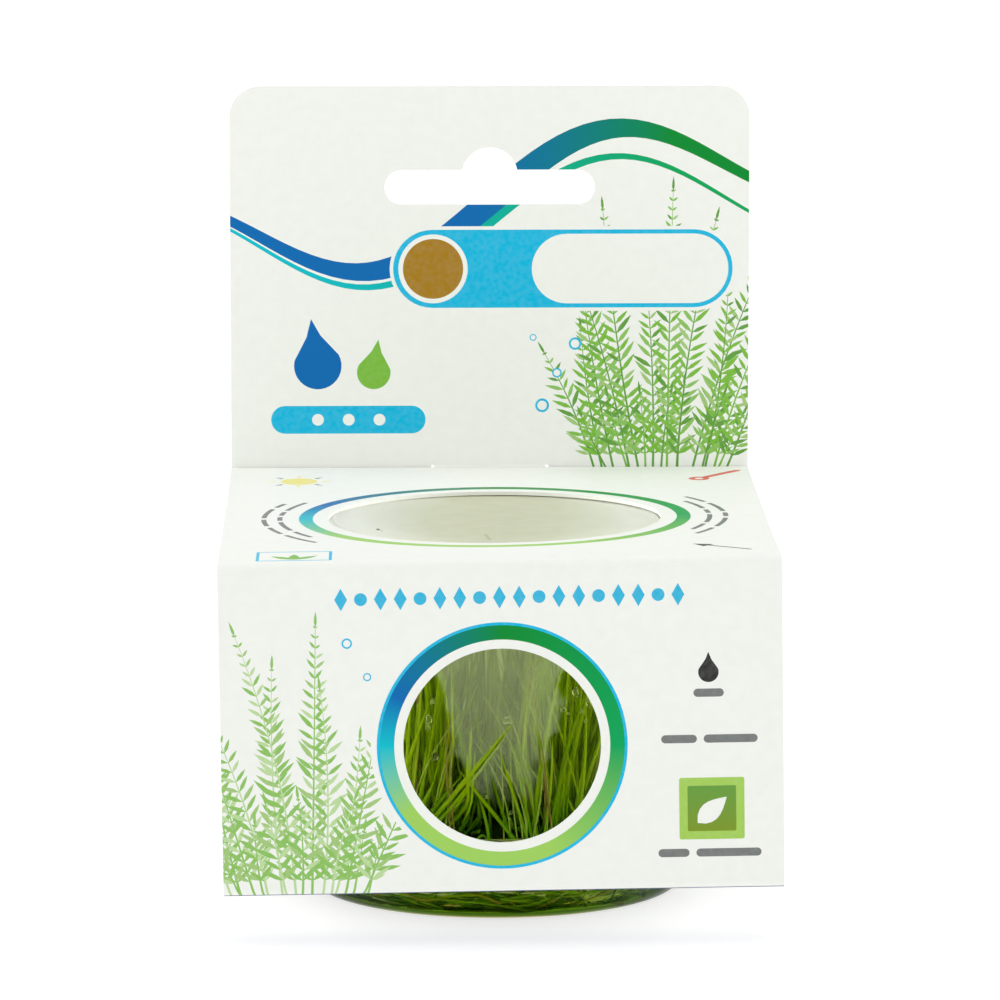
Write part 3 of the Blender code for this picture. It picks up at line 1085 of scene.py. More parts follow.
def card_material(ink):
    if ink == "board":
        return board_material()
    if ink in RING_INKS:
        return turning_ink(ink, *RING_INKS[ink])
    if ink in SLIDING_INKS:
        return sliding_ink(ink, *SLIDING_INKS[ink])
    return ink_material(ink)


def add_piece(name, mesh, replaced=None):
    """Hand a finished mesh over as a piece of the pack, in place of a node of the plain model."""
    piece = add_object(name, mesh)
    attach(piece, "root")
    if replaced:
        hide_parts(replaced)
    return piece


for ink_name in sleeve_inks:
    sleeve_mesh.materials.append(card_material(ink_name))
sleeve_mesh.shade_smooth()
sleeve_mesh.set_sharp_from_angle(angle=math.radians(30))
add_piece("card_sleeve_printed", sleeve_mesh, "card_sleeve")
print("card materials:", len(sleeve_mesh.materials))

# %% [markdown]
# ## Turned plastic
# The cup and its lid are turned shapes: half a profile, spun round the upright axis. The
# profiles follow the plain model but round every edge, because light catches moulded
# plastic on its edges first. A Screw modifier could spin them. A short function does it
# here, because it can also say which stretch of the profile gets which finish.

# %% Spin a profile
TURNS = 160


def round_corner(before, corner, after, radius, steps=5):
    """Replace one corner of a profile by a short curve."""
    corner, before, after = Vector(corner), Vector(before), Vector(after)
    start = corner + (before - corner).normalized() * radius
    end = corner + (after - corner).normalized() * radius
    curve = []
    for step in range(steps + 1):
        share = step / steps
        spot = start.lerp(corner, share).lerp(corner.lerp(end, share), share)
        curve.append((spot.x, spot.y))
    return curve


def softened(profile, radii):
    """A profile with a rounding, which may be 0, at each of its points."""
    soft = []
    for number, (corner, radius) in enumerate(zip(profile, radii)):
        if radius == 0:
            soft.append(corner)
        else:
            soft += round_corner(profile[number - 1], corner, profile[number + 1], radius)
    return soft


def spin(name, profile, slots=None):
    """Turn (radius, height) points in millimetres about Z. slots maps a segment to a slot."""
    places, rows, faces, used = [], [], [], []
    for radius, height in profile:
        turns = 1 if radius == 0 else TURNS
        rows.append(range(len(places), len(places) + turns))
        for turn in range(turns):
            angle = 2 * math.pi * turn / TURNS
            places.append((radius * math.cos(angle) * MM, radius * math.sin(angle) * MM, height * MM))
    for number, (inner, outer) in enumerate(zip(rows, rows[1:])):
        for turn in range(TURNS):
            after = (turn + 1) % TURNS
            corners = [inner[turn % len(inner)], inner[after % len(inner)]]
            corners += [outer[after % len(outer)], outer[turn % len(outer)]]
            faces.append(list(dict.fromkeys(corners)))
            used.append(slots(number) if slots else 0)
    mesh = bpy.data.meshes.new(name)
    mesh.from_pydata(places, [], faces)
    mesh.polygons.foreach_set("material_index", used)
    mesh.shade_smooth()
    mesh.set_sharp_from_angle(angle=math.radians(40))
    return mesh


cup_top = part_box("cup")[1].z / MM
cup_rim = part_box("cup")[1].x / MM
lid_low, lid_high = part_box("lid")
gel_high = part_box("gel")[1]
print("cup rim radius and height:", round(cup_rim, 2), round(cup_top, 2))

# %% [markdown]
# ### The cup's shape
# The real cup is pressed from one sheet of clear plastic, with a wall that leans out by
# a sixth of its height, a rounded foot and a flat rim. A Solidify modifier could thicken a
# single skin, but the inner and the outer face differ at the foot and the rim, so the
# profile goes up the outside and down the inside. The wall has many rings of points,
# because smooth shading on a long face beside a rounded corner would bend the light
# wrongly.

# %% Draw the cup's profile
CUP_BASE = 25.8
CUP_TAPER = 0.17
CUP_FOOT = 1.5
CUP_WALL = 0.8
CUP_FLOOR = 0.6
RECESS_RISE = 0.45
RECESS_EDGE, RECESS_FOOT = 3.2, 2.6
RIM_THICK = 1.0
RIM_SOFT = 0.35
WALL_ROWS = (2.4, 3.2, 6, 11, 16, 21, 26, 31, 36, 41, 45, 46.6, 47.4)


def wall_radius(z):
    """Outer radius of the cup at a height."""
    return CUP_BASE + CUP_TAPER * (z - CUP_FOOT)


def inside_radius(z):
    return wall_radius(z) - CUP_WALL


def cup_profile():
    """Outer points from the base's centre up to the rim, then the inner ones down."""
    under = cup_top - RIM_THICK
    foot = CUP_BASE - CUP_FOOT
    below_rim, rim_low, rim_high = (wall_radius(under), under), (cup_rim, under), (cup_rim, cup_top)
    mouth = (wall_radius(cup_top) - CUP_WALL, cup_top)
    bottom = (inside_radius(CUP_FLOOR) - 0.35, CUP_FLOOR)
    outer = [(0, RECESS_RISE), (foot - RECESS_EDGE, RECESS_RISE), (foot - RECESS_FOOT, 0)]
    outer += arc((foot, CUP_FOOT), CUP_FOOT, -90, 0, 8)
    outer += [(wall_radius(z), z) for z in WALL_ROWS]
    outer += round_corner(outer[-1], below_rim, rim_low, 0.5)
    outer += round_corner(below_rim, rim_low, rim_high, RIM_SOFT)
    outer += round_corner(rim_low, rim_high, mouth, RIM_SOFT)
    inner = round_corner(rim_high, mouth, (inside_radius(3), 3), 0.4)
    inner += [(inside_radius(z), z) for z in WALL_ROWS[::-1]]
    inner += round_corner((inside_radius(6), 6), bottom, (0, CUP_FLOOR), 0.8, 8)
    return outer + inner + [(0, CUP_FLOOR)], len(outer)


print("points in the cup's profile:", len(cup_profile()[0]))

# %% [markdown]
# ### Clear plastic
# Clear plastic lets light through and bends it. Glass colours are often set by volume
# absorption, but the wall is too thin for that to be read well, so the faces carry a
# slight tint. The card and the floor shade the cup in front and at the foot, where the
# mirror image of a white tent would look like mist, so its gloss is low there and rises
# towards the open sides.

# %% Clear plastic
PLASTIC_IOR = 1.49
CLEAR = (0.97, 0.985, 0.96)
CLEAR_ROUGHNESS = 0.03
FRONT_GLOSS = (0.02, 0.02, 0.02)
SIDE_GLOSS = (0.6, 0.6, 0.6)
GLOSS_FRONT_Y, GLOSS_SIDE_Y = -0.026, -0.014
GLOSS_FOOT_Z, GLOSS_WALL_Z = 0.006, 0.009
WAVE_SIZE, WAVE_DEPTH = 0.02, 0.00003


def clear_plastic(name):
    material = plain_material(name, CLEAR, CLEAR_ROUGHNESS, Transmission_Weight=1, IOR=PLASTIC_IOR)
    tree = material.node_tree
    axes = axes_of(tree)
    beside = remap(tree, axes[1], GLOSS_FRONT_Y, GLOSS_SIDE_Y, 0, 1)
    above = remap(tree, axes[2], GLOSS_FOOT_Z, GLOSS_WALL_Z, 0, 1)
    gloss = ramp(tree, product(tree, beside, above), [(0, FRONT_GLOSS), (1, SIDE_GLOSS)])
    waves = bump(tree, noise(tree, WAVE_SIZE, 1.0), WAVE_DEPTH, 0.3)
    feed(material, Normal=waves, Specular_Tint=gloss)
    return material


print("clear plastic bends light by:", PLASTIC_IOR)

# %% [markdown]
# ### Fog on the wall
# Damp air has fogged the cup: all over the rear, where drops have run down and left
# clearer streaks, and in front in a bay that widens upwards. Fog could be a thin shell of
# its own, but a second see-through skin costs time and light. So it is a share of milk in
# the plastic itself. A blade that lies on the wall wipes it clear, and shows there in its
# full green: the shader measures how far each point is from a few lines, and takes the
# milk away near them.

# %% Where the fog lies
ABOVE_MILK = 0.23
FOG_FOOT = 0.0162
FOG_EDGE = 0.004
FOG_HALF = 0.0075
FOG_RISE = 0.012
FOG_STRAY = 0.0012
FOG_RAGGED = 0.003
FOG_THICK_Z = 0.038
BLADE_FOOT = 9.5
WIPED_NEAR = 0.0002
WIPED_FAR = 0.0005
# wiping blades: foot x, tip x, tip z
WIPING_BLADES = [
    (-12.1, 2.4, 28.7), (3.3, -5.6, 21.2), (4.2, -0.2, 24.4), (2.0, -1.4, 21.0), (7.4, 4.8, 28.4),
]


def flattened(tree, keep):
    """The place on the model with one axis left out. keep is the share kept of each axis."""
    return vector_node(tree, "MULTIPLY", object_place(tree), keep)[0]


def from_line(tree, spot, first, last):
    """The distance of a spot from a line between two places in mm, and its share along the line."""
    start, way = Vector(first) * MM, (Vector(last) - Vector(first)) * MM
    offset = vector_node(tree, "SUBTRACT", spot, start)[0]
    along = vector_node(tree, "DOT_PRODUCT", offset, way)["Value"]
    share = remap(tree, along, 0, way.length_squared, 0, 1)
    nearest = vector_node(tree, "MULTIPLY", way, share)[0]
    return vector_node(tree, "DISTANCE", offset, nearest)["Value"], share


def beside_blades(tree):
    """0 along the lines where a blade lies on the wall and wipes it clear, 1 elsewhere."""
    spot = flattened(tree, (1, 0, 1))
    clear = []
    for foot_x, tip_x, tip_z in WIPING_BLADES:
        gap, share = from_line(tree, spot, (foot_x, 0, BLADE_FOOT), (tip_x, 0, tip_z))
        taper = product(tree, math_node(tree, "POWER", share, 8), WIPED_FAR)
        clear.append(remap(tree, math_node(tree, "ADD", gap, taper), WIPED_NEAR, WIPED_FAR, 0, 1))
    return product(tree, *clear)


def milk_above(tree):
    """The milky share of a face: a bay of fog that widens upwards, thickest under the rim."""
    x, y, z = axes_of(tree)
    stray = math_node(tree, "ADD", x, uneven(tree, 0.005, -FOG_STRAY, FOG_STRAY))
    aside = math_node(tree, "DIVIDE", math_node(tree, "ABSOLUTE", stray), FOG_HALF)
    edge = product(tree, math_node(tree, "POWER", aside, 3), FOG_RISE)
    ragged = math_node(tree, "ADD", z, uneven(tree, 0.004, -FOG_RAGGED, FOG_RAGGED, 4.0))
    bay = remap(tree, math_node(tree, "SUBTRACT", ragged, edge), FOG_FOOT, FOG_FOOT + FOG_EDGE, 0, 1)
    thick = remap(tree, z, FOG_FOOT, FOG_THICK_Z, 0.5 * ABOVE_MILK, ABOVE_MILK)
    cloud = uneven(tree, 0.004, 0.85, 1.0)
    return product(tree, bay, thick, cloud, beside_blades(tree))


print("lines that blades wipe clear:", len(WIPING_BLADES))

# %% [markdown]
# ### The cup's two finishes
# Fine drops scatter light as frosted glass does, so the fog behind is mostly roughness,
# while the bay in front is milk alone, which keeps the blades behind it sharp. One finish
# for the whole cup would frost every ray twice, so the inner faces get a slot of their
# own, and only they are rough. The outer ones carry painted shade at the foot: deep green
# and olive tints that darken the floor's light seen through it, darker still at its sides,
# and amber at its very edge.

# %% Finish the cup
FRONT_TINT = linear(232, 245, 186)
REAR_TINT = linear(236, 242, 222)
# the fog's pale green is painted light: the green that the plants would cast on it
FOG_WITH_GREEN_LIGHT = linear(240, 253, 197)
# painted shade at the foot: deep green and olive darken the floor's light seen through it, darker still
# towards its sides; amber marks its very edge
SIDE_SHADE = linear(96, 146, 16)
AMBER, FOOT_SHADE_GREEN, OLIVE = linear(150, 120, 20), linear(44, 76, 0), linear(82, 126, 2)
FOOT_SHADE_STOPS = [(0, OLIVE), (0.02, OLIVE), (0.03, AMBER), (0.12, AMBER), (0.2, FOOT_SHADE_GREEN), (0.4, FOOT_SHADE_GREEN)]
FOOT_SHADE_STOPS += [(0.55, OLIVE), (0.75, OLIVE), (1, FRONT_TINT)]
FOOT_SHADE_TOP = 0.002
# where the painted shade at the sides of the foot lies, across and up
SIDE_SHADE_X = (0.014, 0.022)
SIDE_SHADE_Z = (0.007, 0.012)
FRONT_TINT_Y, REAR_TINT_Y = -0.018, 0.004
BEHIND_Y = (-0.014, 0.014)
BEHIND_MILK = 0.22
BEHIND_ROUGHNESS = 0.42
RUN_SIZE, RUN_STRETCH = 0.0016, (1, 1, 0.035)


def tint_fog(tree, clear_colour, milk):
    """The plastic's colour, paler where the fog is thick, in a pale green that is painted light from the
    plants.
    """
    return mix(tree, math_node(tree, "DIVIDE", milk, ABOVE_MILK), clear_colour, FOG_WITH_GREEN_LIGHT)


def outer_plastic():
    """Clear, with painted shade at the foot in green and olive, darker still at its sides, and an amber
    edge.
    """
    material = clear_plastic("clear_plastic")
    tree = material.node_tree
    x, y, z = axes_of(tree)
    # painted shade at the foot, darker still at its sides
    foot = ramp(tree, remap(tree, z, 0, FOOT_SHADE_TOP, 0, 1), FOOT_SHADE_STOPS)
    aside = remap(tree, math_node(tree, "ABSOLUTE", x), *SIDE_SHADE_X, 0, 1)
    foot = mix(tree, product(tree, aside, remap(tree, z, *SIDE_SHADE_Z, 1, 0)), foot, SIDE_SHADE, "MULTIPLY")
    milk = milk_above(tree)
    clear = math_node(tree, "SUBTRACT", 1.0, milk)
    feed(material, Base_Color=tint_fog(tree, foot, milk), Transmission_Weight=clear)
    return material


def fogged_plastic():
    """The inner faces: the milky bay in front, and behind it frost with clearer runs."""
    material = clear_plastic("fogged_plastic")
    tree = material.node_tree
    y = axes_of(tree)[1]
    runs = remap(tree, noise(tree, RUN_SIZE, 2.0, RUN_STRETCH), 0.52, 0.7, 1, 0.35)
    behind = product(tree, remap(tree, y, *BEHIND_Y, 0, 1), runs)
    above = milk_above(tree)
    milk = math_node(tree, "MAXIMUM", product(tree, behind, BEHIND_MILK), above)
    rough = remap(tree, behind, 0, 1, CLEAR_ROUGHNESS, BEHIND_ROUGHNESS)
    tint = ramp(tree, remap(tree, y, FRONT_TINT_Y, REAR_TINT_Y, 0, 1), [(0, FRONT_TINT), (1, REAR_TINT)])
    clear = math_node(tree, "SUBTRACT", 1.0, milk)
    feed(material, Transmission_Weight=clear, Roughness=rough, Base_Color=tint_fog(tree, tint, above))
    return material


def make_cup():
    profile, outer_count = cup_profile()
    mesh = spin("cup_clear", profile, lambda number: 0 if number < outer_count else 1)
    mesh.materials.append(outer_plastic())
    mesh.materials.append(fogged_plastic())
    return add_piece("cup_clear", mesh, "cup")


print("cup faces:", len(make_cup().data.polygons))

# %% [markdown]
# ### The lid
# Through the top opening the lid shows as a shallow dish, with a fine bead on the ring
# round it. The card sags on to that ring. A few extruded and bevelled discs would give a
# lid too, but one profile holds every step of it in order, so the lid is spun as well.

# %% Draw the lid's profile
LID_THICK = 0.8
PANEL_RADIUS = 21.8
PANEL_SINK = 0.05
RING_LIFT = 0.3
RING_WIDTH = 6.5
RING_FALL = 9
DISH_RADIUS = 15.0
DISH_EDGE = 20.2
BEAD_RISE = 0.12
BEAD_HALF = 0.3
PLUG_RADIUS = 32.4
PLUG_BOTTOM = 47.4
SKIRT_WALL = 0.7
LID_CHAMFER = 0.6


def lid_profile():
    """From the middle of the dish outwards, down the skirt, and back round the plug."""
    top, low, rim = lid_high.z / MM, lid_low.z / MM, lid_high.x / MM
    panel = top - PANEL_SINK
    ceiling = top - LID_THICK
    skirt = rim - SKIRT_WALL
    plug = PLUG_RADIUS - LID_THICK
    ring_top = top + RING_LIFT
    points = [(0, panel - 0.05), (DISH_RADIUS, panel), (DISH_EDGE, ring_top)]
    points += [(PANEL_RADIUS, ring_top), (PANEL_RADIUS + BEAD_HALF, ring_top + BEAD_RISE)]
    points += [(PANEL_RADIUS + 2 * BEAD_HALF, ring_top), (PANEL_RADIUS + RING_WIDTH, ring_top)]
    points += [(PANEL_RADIUS + RING_FALL, top), (rim, top), (rim, low), (skirt, low)]
    points += [(skirt, ceiling), (PLUG_RADIUS, ceiling), (PLUG_RADIUS, PLUG_BOTTOM)]
    points += [(plug, PLUG_BOTTOM), (plug, panel - LID_THICK), (0, panel - LID_THICK)]
    radii = [0, 2, 0.6, 0.1, 0.12, 0.1, 0.5, 0.6, LID_CHAMFER, 0.2, 0.2, 0.2, 0.15, 0.25, 0.25, 0.3, 0]
    return softened(points, radii)[::-1]


print("points in the lid's profile:", len(lid_profile()))

# %% [markdown]
# ### The lid's finish
# The plastic is thin and milky. Its colour carries painted light and shade: beige in the
# middle, as painted shade over the dark plants, and paler towards the sides, as painted
# light from below. Subsurface scattering lets light sink in and spread, so the lid glows a
# little at its edges, which a plain diffuse white wouldn't do. A speck of dirt and the
# shadow of a blade that touches the lid are only colour, the blade's a painted shadow, so
# they are drawn in the finish and not in the mesh.

# %% Finish the lid
# painted shade and light: beige in the middle over the dark plants, paler towards the sides
LID_SHADE_STOPS = [(0, linear(195, 196, 164)), (0.4, linear(200, 201, 171)), (1, linear(240, 239, 220))]
LID_SHADE_REACH = (0.003, 0.019)
LID_SHADE_STRETCH = (1, 0.4, 0)
CLOUD_SWING = 0.0015
SCATTER_RADIUS, SCATTER_SCALE = (1.0, 0.97, 0.86), 0.004
# marks: from, to, width in millimetres, strength and colour. The first two are a speck of
# dirt, the last two a painted shadow of a blade that touches the lid from below.
LID_DIRT_AND_SHADOW_MARKS = [
    ((-16.15, -8.3, 0), (-16.15, -9.6, 0), 0.32, 1.0, (60, 52, 36)),
    ((-15.7, -9.0, 0), (-15.6, -11.0, 0), 0.25, 0.3, (150, 146, 120)),
    ((-1.6, -11.9, 0), (-1.1, -17.6, 0), 0.32, 0.65, (150, 162, 108)),
    ((0.9, -15.5, 0), (1.6, -18.6, 0), 0.3, 0.25, (150, 158, 110)),
]


def lid_shade_and_marks(tree):
    # painted shade in the middle and painted light towards the sides, then the marks
    radius = vector_node(tree, "LENGTH", flattened(tree, LID_SHADE_STRETCH))["Value"]
    cloudy = math_node(tree, "ADD", radius, uneven(tree, 0.02, -CLOUD_SWING, CLOUD_SWING, 2.0))
    tint = ramp(tree, remap(tree, cloudy, *LID_SHADE_REACH, 0, 1), LID_SHADE_STOPS)
    spot = flattened(tree, (1, 1, 0))
    # a speck of dirt, and a painted shadow of a blade under the lid
    for first, last, width, strength, colour in LID_DIRT_AND_SHADOW_MARKS:
        gap = from_line(tree, spot, first, last)[0]
        mark = remap(tree, gap, width * 0.4 * MM, width * MM, strength, 0)
        tint = mix(tree, mark, tint, linear(*colour))
    return tint


def milky_plastic():
    material = plain_material(
        "milky_plastic", linear(236, 234, 218), 0.4, IOR=PLASTIC_IOR, Subsurface_Weight=0.9,
        Subsurface_Radius=SCATTER_RADIUS, Subsurface_Scale=SCATTER_SCALE,
    )
    tree = material.node_tree
    feed(material, Base_Color=lid_shade_and_marks(tree), Roughness=uneven(tree, 0.003, 0.34, 0.46))
    return material


def make_lid():
    mesh = spin("lid_milky", lid_profile())
    mesh.materials.append(milky_plastic())
    return add_piece("lid_milky", mesh, "lid")


print("lid faces:", len(make_lid().data.polygons))

# %% [markdown]
# ### The gel
# The gel is a soft olive block, whose darkest greens are also painted shade for the dim
# bottom of the cup. It could be a see-through volume, but little of it shows behind the
# root mat, so an olive block with an uneven, wet surface does the same in less time. It is
# drawn a little narrower than the cup, and the root mat of a later step fills the rest.

# %% Shape and finish the gel
MAT_DEPTH = 1.3
GEL_DIP = 0.7
# the gel's olive, its darkest greens partly painted shade for the dim bottom of the cup
GEL_AND_SHADE_STOPS = [(0.3, linear(10, 40, 0)), (0.55, linear(34, 68, 2)), (0.75, linear(88, 92, 18))]


def gel_profile():
    """A block with a raised edge, where the gel has crept up the wall."""
    bottom, top = CUP_FLOOR + 0.3, gel_high.z / MM
    flat = top - GEL_DIP
    edge = inside_radius(top) - MAT_DEPTH
    foot = inside_radius(3) - MAT_DEPTH
    points = [(0, bottom), (foot - 1.2, bottom), (foot, 3), (edge, top), (edge - 2, flat), (0, flat)]
    return softened(points, [0, 0.8, 0.8, 0.3, 0.8, 0])


def gel_material():
    material = plain_material("nutrient_gel", linear(70, 84, 22), 0.25)
    tree = material.node_tree
    tone = ramp(tree, noise(tree, 0.004, 4.0), GEL_AND_SHADE_STOPS)
    feed(material, Base_Color=tone, Normal=bump(tree, noise(tree, 0.0015), 0.0003))
    return material


def make_gel():
    mesh = spin("gel_block", gel_profile())
    mesh.materials.append(gel_material())
    return add_piece("gel_block", mesh, "gel")


print("gel faces:", len(make_gel().data.polygons))

# %% [markdown]
# ## Blades and roots
# Hairgrass leaves are round, thin as thread and tapering, so each one is a narrow tube
# with a few sides. Blender's hair could grow them, but hair isn't mesh, and a model that
# is passed on would lose it. There are more than two thousand, so numpy lays out all
# their centre lines at once and one function wraps every line of a tuft in its tube.

# %% Wrap many lines in tubes
BLADE_SIDES = 5
CEILING_ROOM = 0.9
CEILING_PUSH = 1.5


def unit(vectors):
    return vectors / np.maximum(np.linalg.norm(vectors, axis=-1, keepdims=True), 1e-12)


def shares(points):
    """Evenly spaced shares from 0 to 1 along a line, as one row."""
    return np.linspace(0, 1, points)[None, :]


def tubes(name, lines, radii, guide, sides):
    """Closed tubes round many lines at once.

    lines is (tubes, points, 3) and radii (tubes, points), in millimetres. guide is a
    vector for each tube that its line never runs along.
    """
    count, points = radii.shape
    along = unit(np.gradient(lines, axis=1))
    guides = np.broadcast_to(guide[:, None, :], lines.shape)
    side = unit(guides - along * (guides * along).sum(-1, keepdims=True))
    other = np.cross(along, side)
    angles = np.arange(sides) * 2 * math.pi / sides
    spread = side[:, :, None] * np.cos(angles)[:, None] + other[:, :, None] * np.sin(angles)[:, None]
    places = lines[:, :, None] + spread * radii[:, :, None, None]
    start = (np.arange(count * points) * sides).reshape(count, points, 1)
    here = start[:, :-1] + np.arange(sides)
    after = start[:, :-1] + (np.arange(sides) + 1) % sides
    walls = np.stack([here, after, after + sides, here + sides], -1).reshape(-1, 4)
    feet = (start[:, 0] + np.arange(sides)[::-1]).tolist()
    tips = (start[:, -1] + np.arange(sides)).tolist()
    mesh = bpy.data.meshes.new(name)
    mesh.from_pydata((places.reshape(-1, 3) * MM).tolist(), [], walls.tolist() + feet + tips)
    mesh.shade_smooth()
    return mesh


def finish_tubes(mesh, finishes, points, sides, materials):
    """Give every tube the material that its number in finishes names."""
    walls = np.repeat(finishes, (points - 1) * sides)
    slots = np.concatenate([walls, finishes, finishes])
    mesh.polygons.foreach_set("material_index", slots.astype(int).tolist())
    for material in materials:
        mesh.materials.append(material)


def keep_in_cup(lines, margin):
    """Bend lines back along the wall and under the lid where they would go through."""
    over = np.maximum(lines[..., 2] - (PLUG_BOTTOM + CEILING_ROOM), 0)
    lines[..., 2] -= over * CEILING_PUSH
    room = inside_radius(lines[..., 2]) - margin
    radius = np.maximum(np.hypot(lines[..., 0], lines[..., 1]), 1e-6)
    lines[..., :2] *= np.minimum(1, room / radius)[..., None]
    return lines


GEL_TOP = gel_high.z / MM
print("room at the gel's top, radius in mm:", round(float(inside_radius(GEL_TOP)), 2))

# %% [markdown]
# ### Leaf and root finishes
# No two blades on a real plant have quite the same green. A material for each would do,
# but every blade is its own island of mesh, and the shader can draw a random number for
# each island. It shifts the green of a blade from olive to yellow green. Low in the cup
# every blade turns a deeper green, partly the plant's greener foot and partly painted
# shade in the dense lower grass. A few blades have died back to a straw brown, and young
# roots are pale: those have finishes of their own.

# %% Grass and root materials
LEAF_SHINE = 0.15
# partly painted shade: blades turn a deeper green low in the cup
LOW_SHADE_GREEN = (130, 205, 50)
LOW_SHADE_Z = (0.010, 0.019)
GRASS_STOPS = [(0.0, (138, 172, 0)), (0.3, (188, 216, 6)), (0.6, (218, 238, 26))]
GRASS_STOPS += [(0.93, (226, 240, 78)), (1.0, (232, 232, 140))]
STRAW_STOPS = [(0.3, (166, 118, 78)), (0.5, (206, 168, 132)), (0.7, (222, 206, 150))]
ROOT_STOPS = [(0.0, (46, 92, 0)), (0.4, (104, 152, 2)), (0.78, (160, 190, 12))]
ROOT_STOPS += [(0.88, (160, 128, 40)), (0.95, (204, 196, 130)), (1, (232, 230, 204))]
PALE_STOPS = [(0.35, (184, 208, 60)), (0.6, (238, 242, 172))]


def island_value(tree):
    """One random number for each blade."""
    return add_node(tree, "ShaderNodeNewGeometry").outputs["Random Per Island"]


def patches(size):
    return lambda tree: noise(tree, size)


def plant_material(name, roughness, pattern, stops, foot=None):
    """A finish whose pattern picks from a ramp of colours. foot is a deeper green low in the cup, partly
    painted shade.
    """
    tones = [(place, linear(*colour)) for place, colour in stops]
    material = plain_material(name, tones[0][1], roughness, Specular_IOR_Level=LEAF_SHINE)
    tree = material.node_tree
    tint = ramp(tree, pattern(tree), tones)
    if foot:
        # partly painted shade: a deeper green low in the cup, where the dense grass is dim
        shaded_low = remap(tree, axes_of(tree)[2], *LOW_SHADE_Z, 1, 0)
        tint = mix(tree, shaded_low, tint, linear(*foot), "MULTIPLY")
    feed(material, Base_Color=tint)
    return material


GRASS = plant_material("grass_blades", 0.42, island_value, GRASS_STOPS, LOW_SHADE_GREEN)
STRAW = plant_material("straw_blades", 0.5, patches(0.006), STRAW_STOPS)
ROOTS = plant_material("root_mat", 0.4, island_value, ROOT_STOPS)
PALE = plant_material("pale_roots", 0.4, patches(0.002), PALE_STOPS)
print("plant materials:", GRASS.name, STRAW.name, ROOTS.name, PALE.name)

# %% [markdown]
# ### How a plant grows
# Each plant of the plain model becomes one to four hundred blades. They could be strewn as
# copies of a few blades, but copies show, and so each blade is drawn for itself. It rises
# from the crown, leans away from its middle, and bends more the longer it is. The front
# plants part in the middle of the cup, and the rear ones fill the gap behind them.

# %% Grow the blades
BLADE_POINTS = 13
GRASS_TOP = 47.0
CROWN_DEPTH = 1.2
LEAST_TILT = 2
WAY_STRAY = 0.7
CURL_RANGE = (-0.1, 0.55)
SWAY, SWAY_BENDS = 0.35, (0.6, 1.8)
PARTING_X = -1.0
PARTING_FOOT_HALF = 2.8
PARTING_HEAD_HALF = 8.0
PARTING_HEAD = 40.0
THIN_BLADE, BLADE_SPREAD = 0.13, 0.25
POINT_RADIUS = 0.02


def blade_lines(chance, centre, count, spread, heights, lean):
    """Centre lines of one plant's blades, in millimetres. lean is their usual lean in degrees."""
    share = shares(BLADE_POINTS)
    turn = chance.uniform(0, 2 * math.pi, count)
    offset = np.stack([np.cos(turn), np.sin(turn)], -1) * np.sqrt(chance.uniform(0, 1, (count, 1)))
    root = np.array(centre)[None, :2] + offset * spread
    tilt = np.radians(np.abs(chance.normal(0, lean, (count, 1))) + LEAST_TILT)
    way = unit(offset + chance.normal(0, WAY_STRAY, (count, 2)))
    length = heights[0] + (heights[1] - heights[0]) * chance.beta(1.5, 1.3, (count, 1))
    curl = chance.uniform(*CURL_RANGE, (count, 1)) * (length / GRASS_TOP)
    angle = tilt + curl * share
    step = length / (BLADE_POINTS - 1)
    out = np.cumsum(np.sin(angle) * step, 1) - np.sin(tilt) * step
    rise = np.cumsum(np.cos(angle) * step, 1) - np.cos(tilt) * step
    bends = chance.uniform(*SWAY_BENDS, (count, 1))
    sway = np.sin(share * math.pi * bends) * chance.normal(0, SWAY, (count, 1))
    lines = np.empty((count, BLADE_POINTS, 3))
    lines[..., 0] = root[:, :1] + way[:, :1] * out - way[:, 1:] * sway
    lines[..., 1] = root[:, 1:] + way[:, 1:] * out + way[:, :1] * sway
    lines[..., 2] = GEL_TOP - CROWN_DEPTH + rise
    return lines


def part_tufts(lines, share):
    """Lean blades away from the middle of the cup, so that they part like a V."""
    rise = (lines[..., 2] - GEL_TOP) / (PARTING_HEAD - GEL_TOP)
    half = share * (PARTING_FOOT_HALF + (PARTING_HEAD_HALF - PARTING_FOOT_HALF) * rise)
    side = np.where(lines[:, :1, 0] > PARTING_X, 1, -1)
    away = np.maximum((lines[..., 0] - PARTING_X) * side, 0)
    room = inside_radius(lines[..., 2])
    lines[..., 0] = PARTING_X + side * (half + away * (1 - half / room))
    return lines


def blade_body(slimness):
    """Thickness along a blade: a slimmer foot, an even middle and a fine point."""
    share = shares(BLADE_POINTS)
    return (1 - slimness + slimness * np.sin(share * math.pi)) * (1 - share ** 5) + POINT_RADIUS


def blade_radii(chance, count):
    """The radii of many blades. Most blades are thin."""
    return blade_body(0.25) * (THIN_BLADE + BLADE_SPREAD * chance.uniform(0, 1, (count, 1)) ** 2)


print("points along a blade:", BLADE_POINTS)
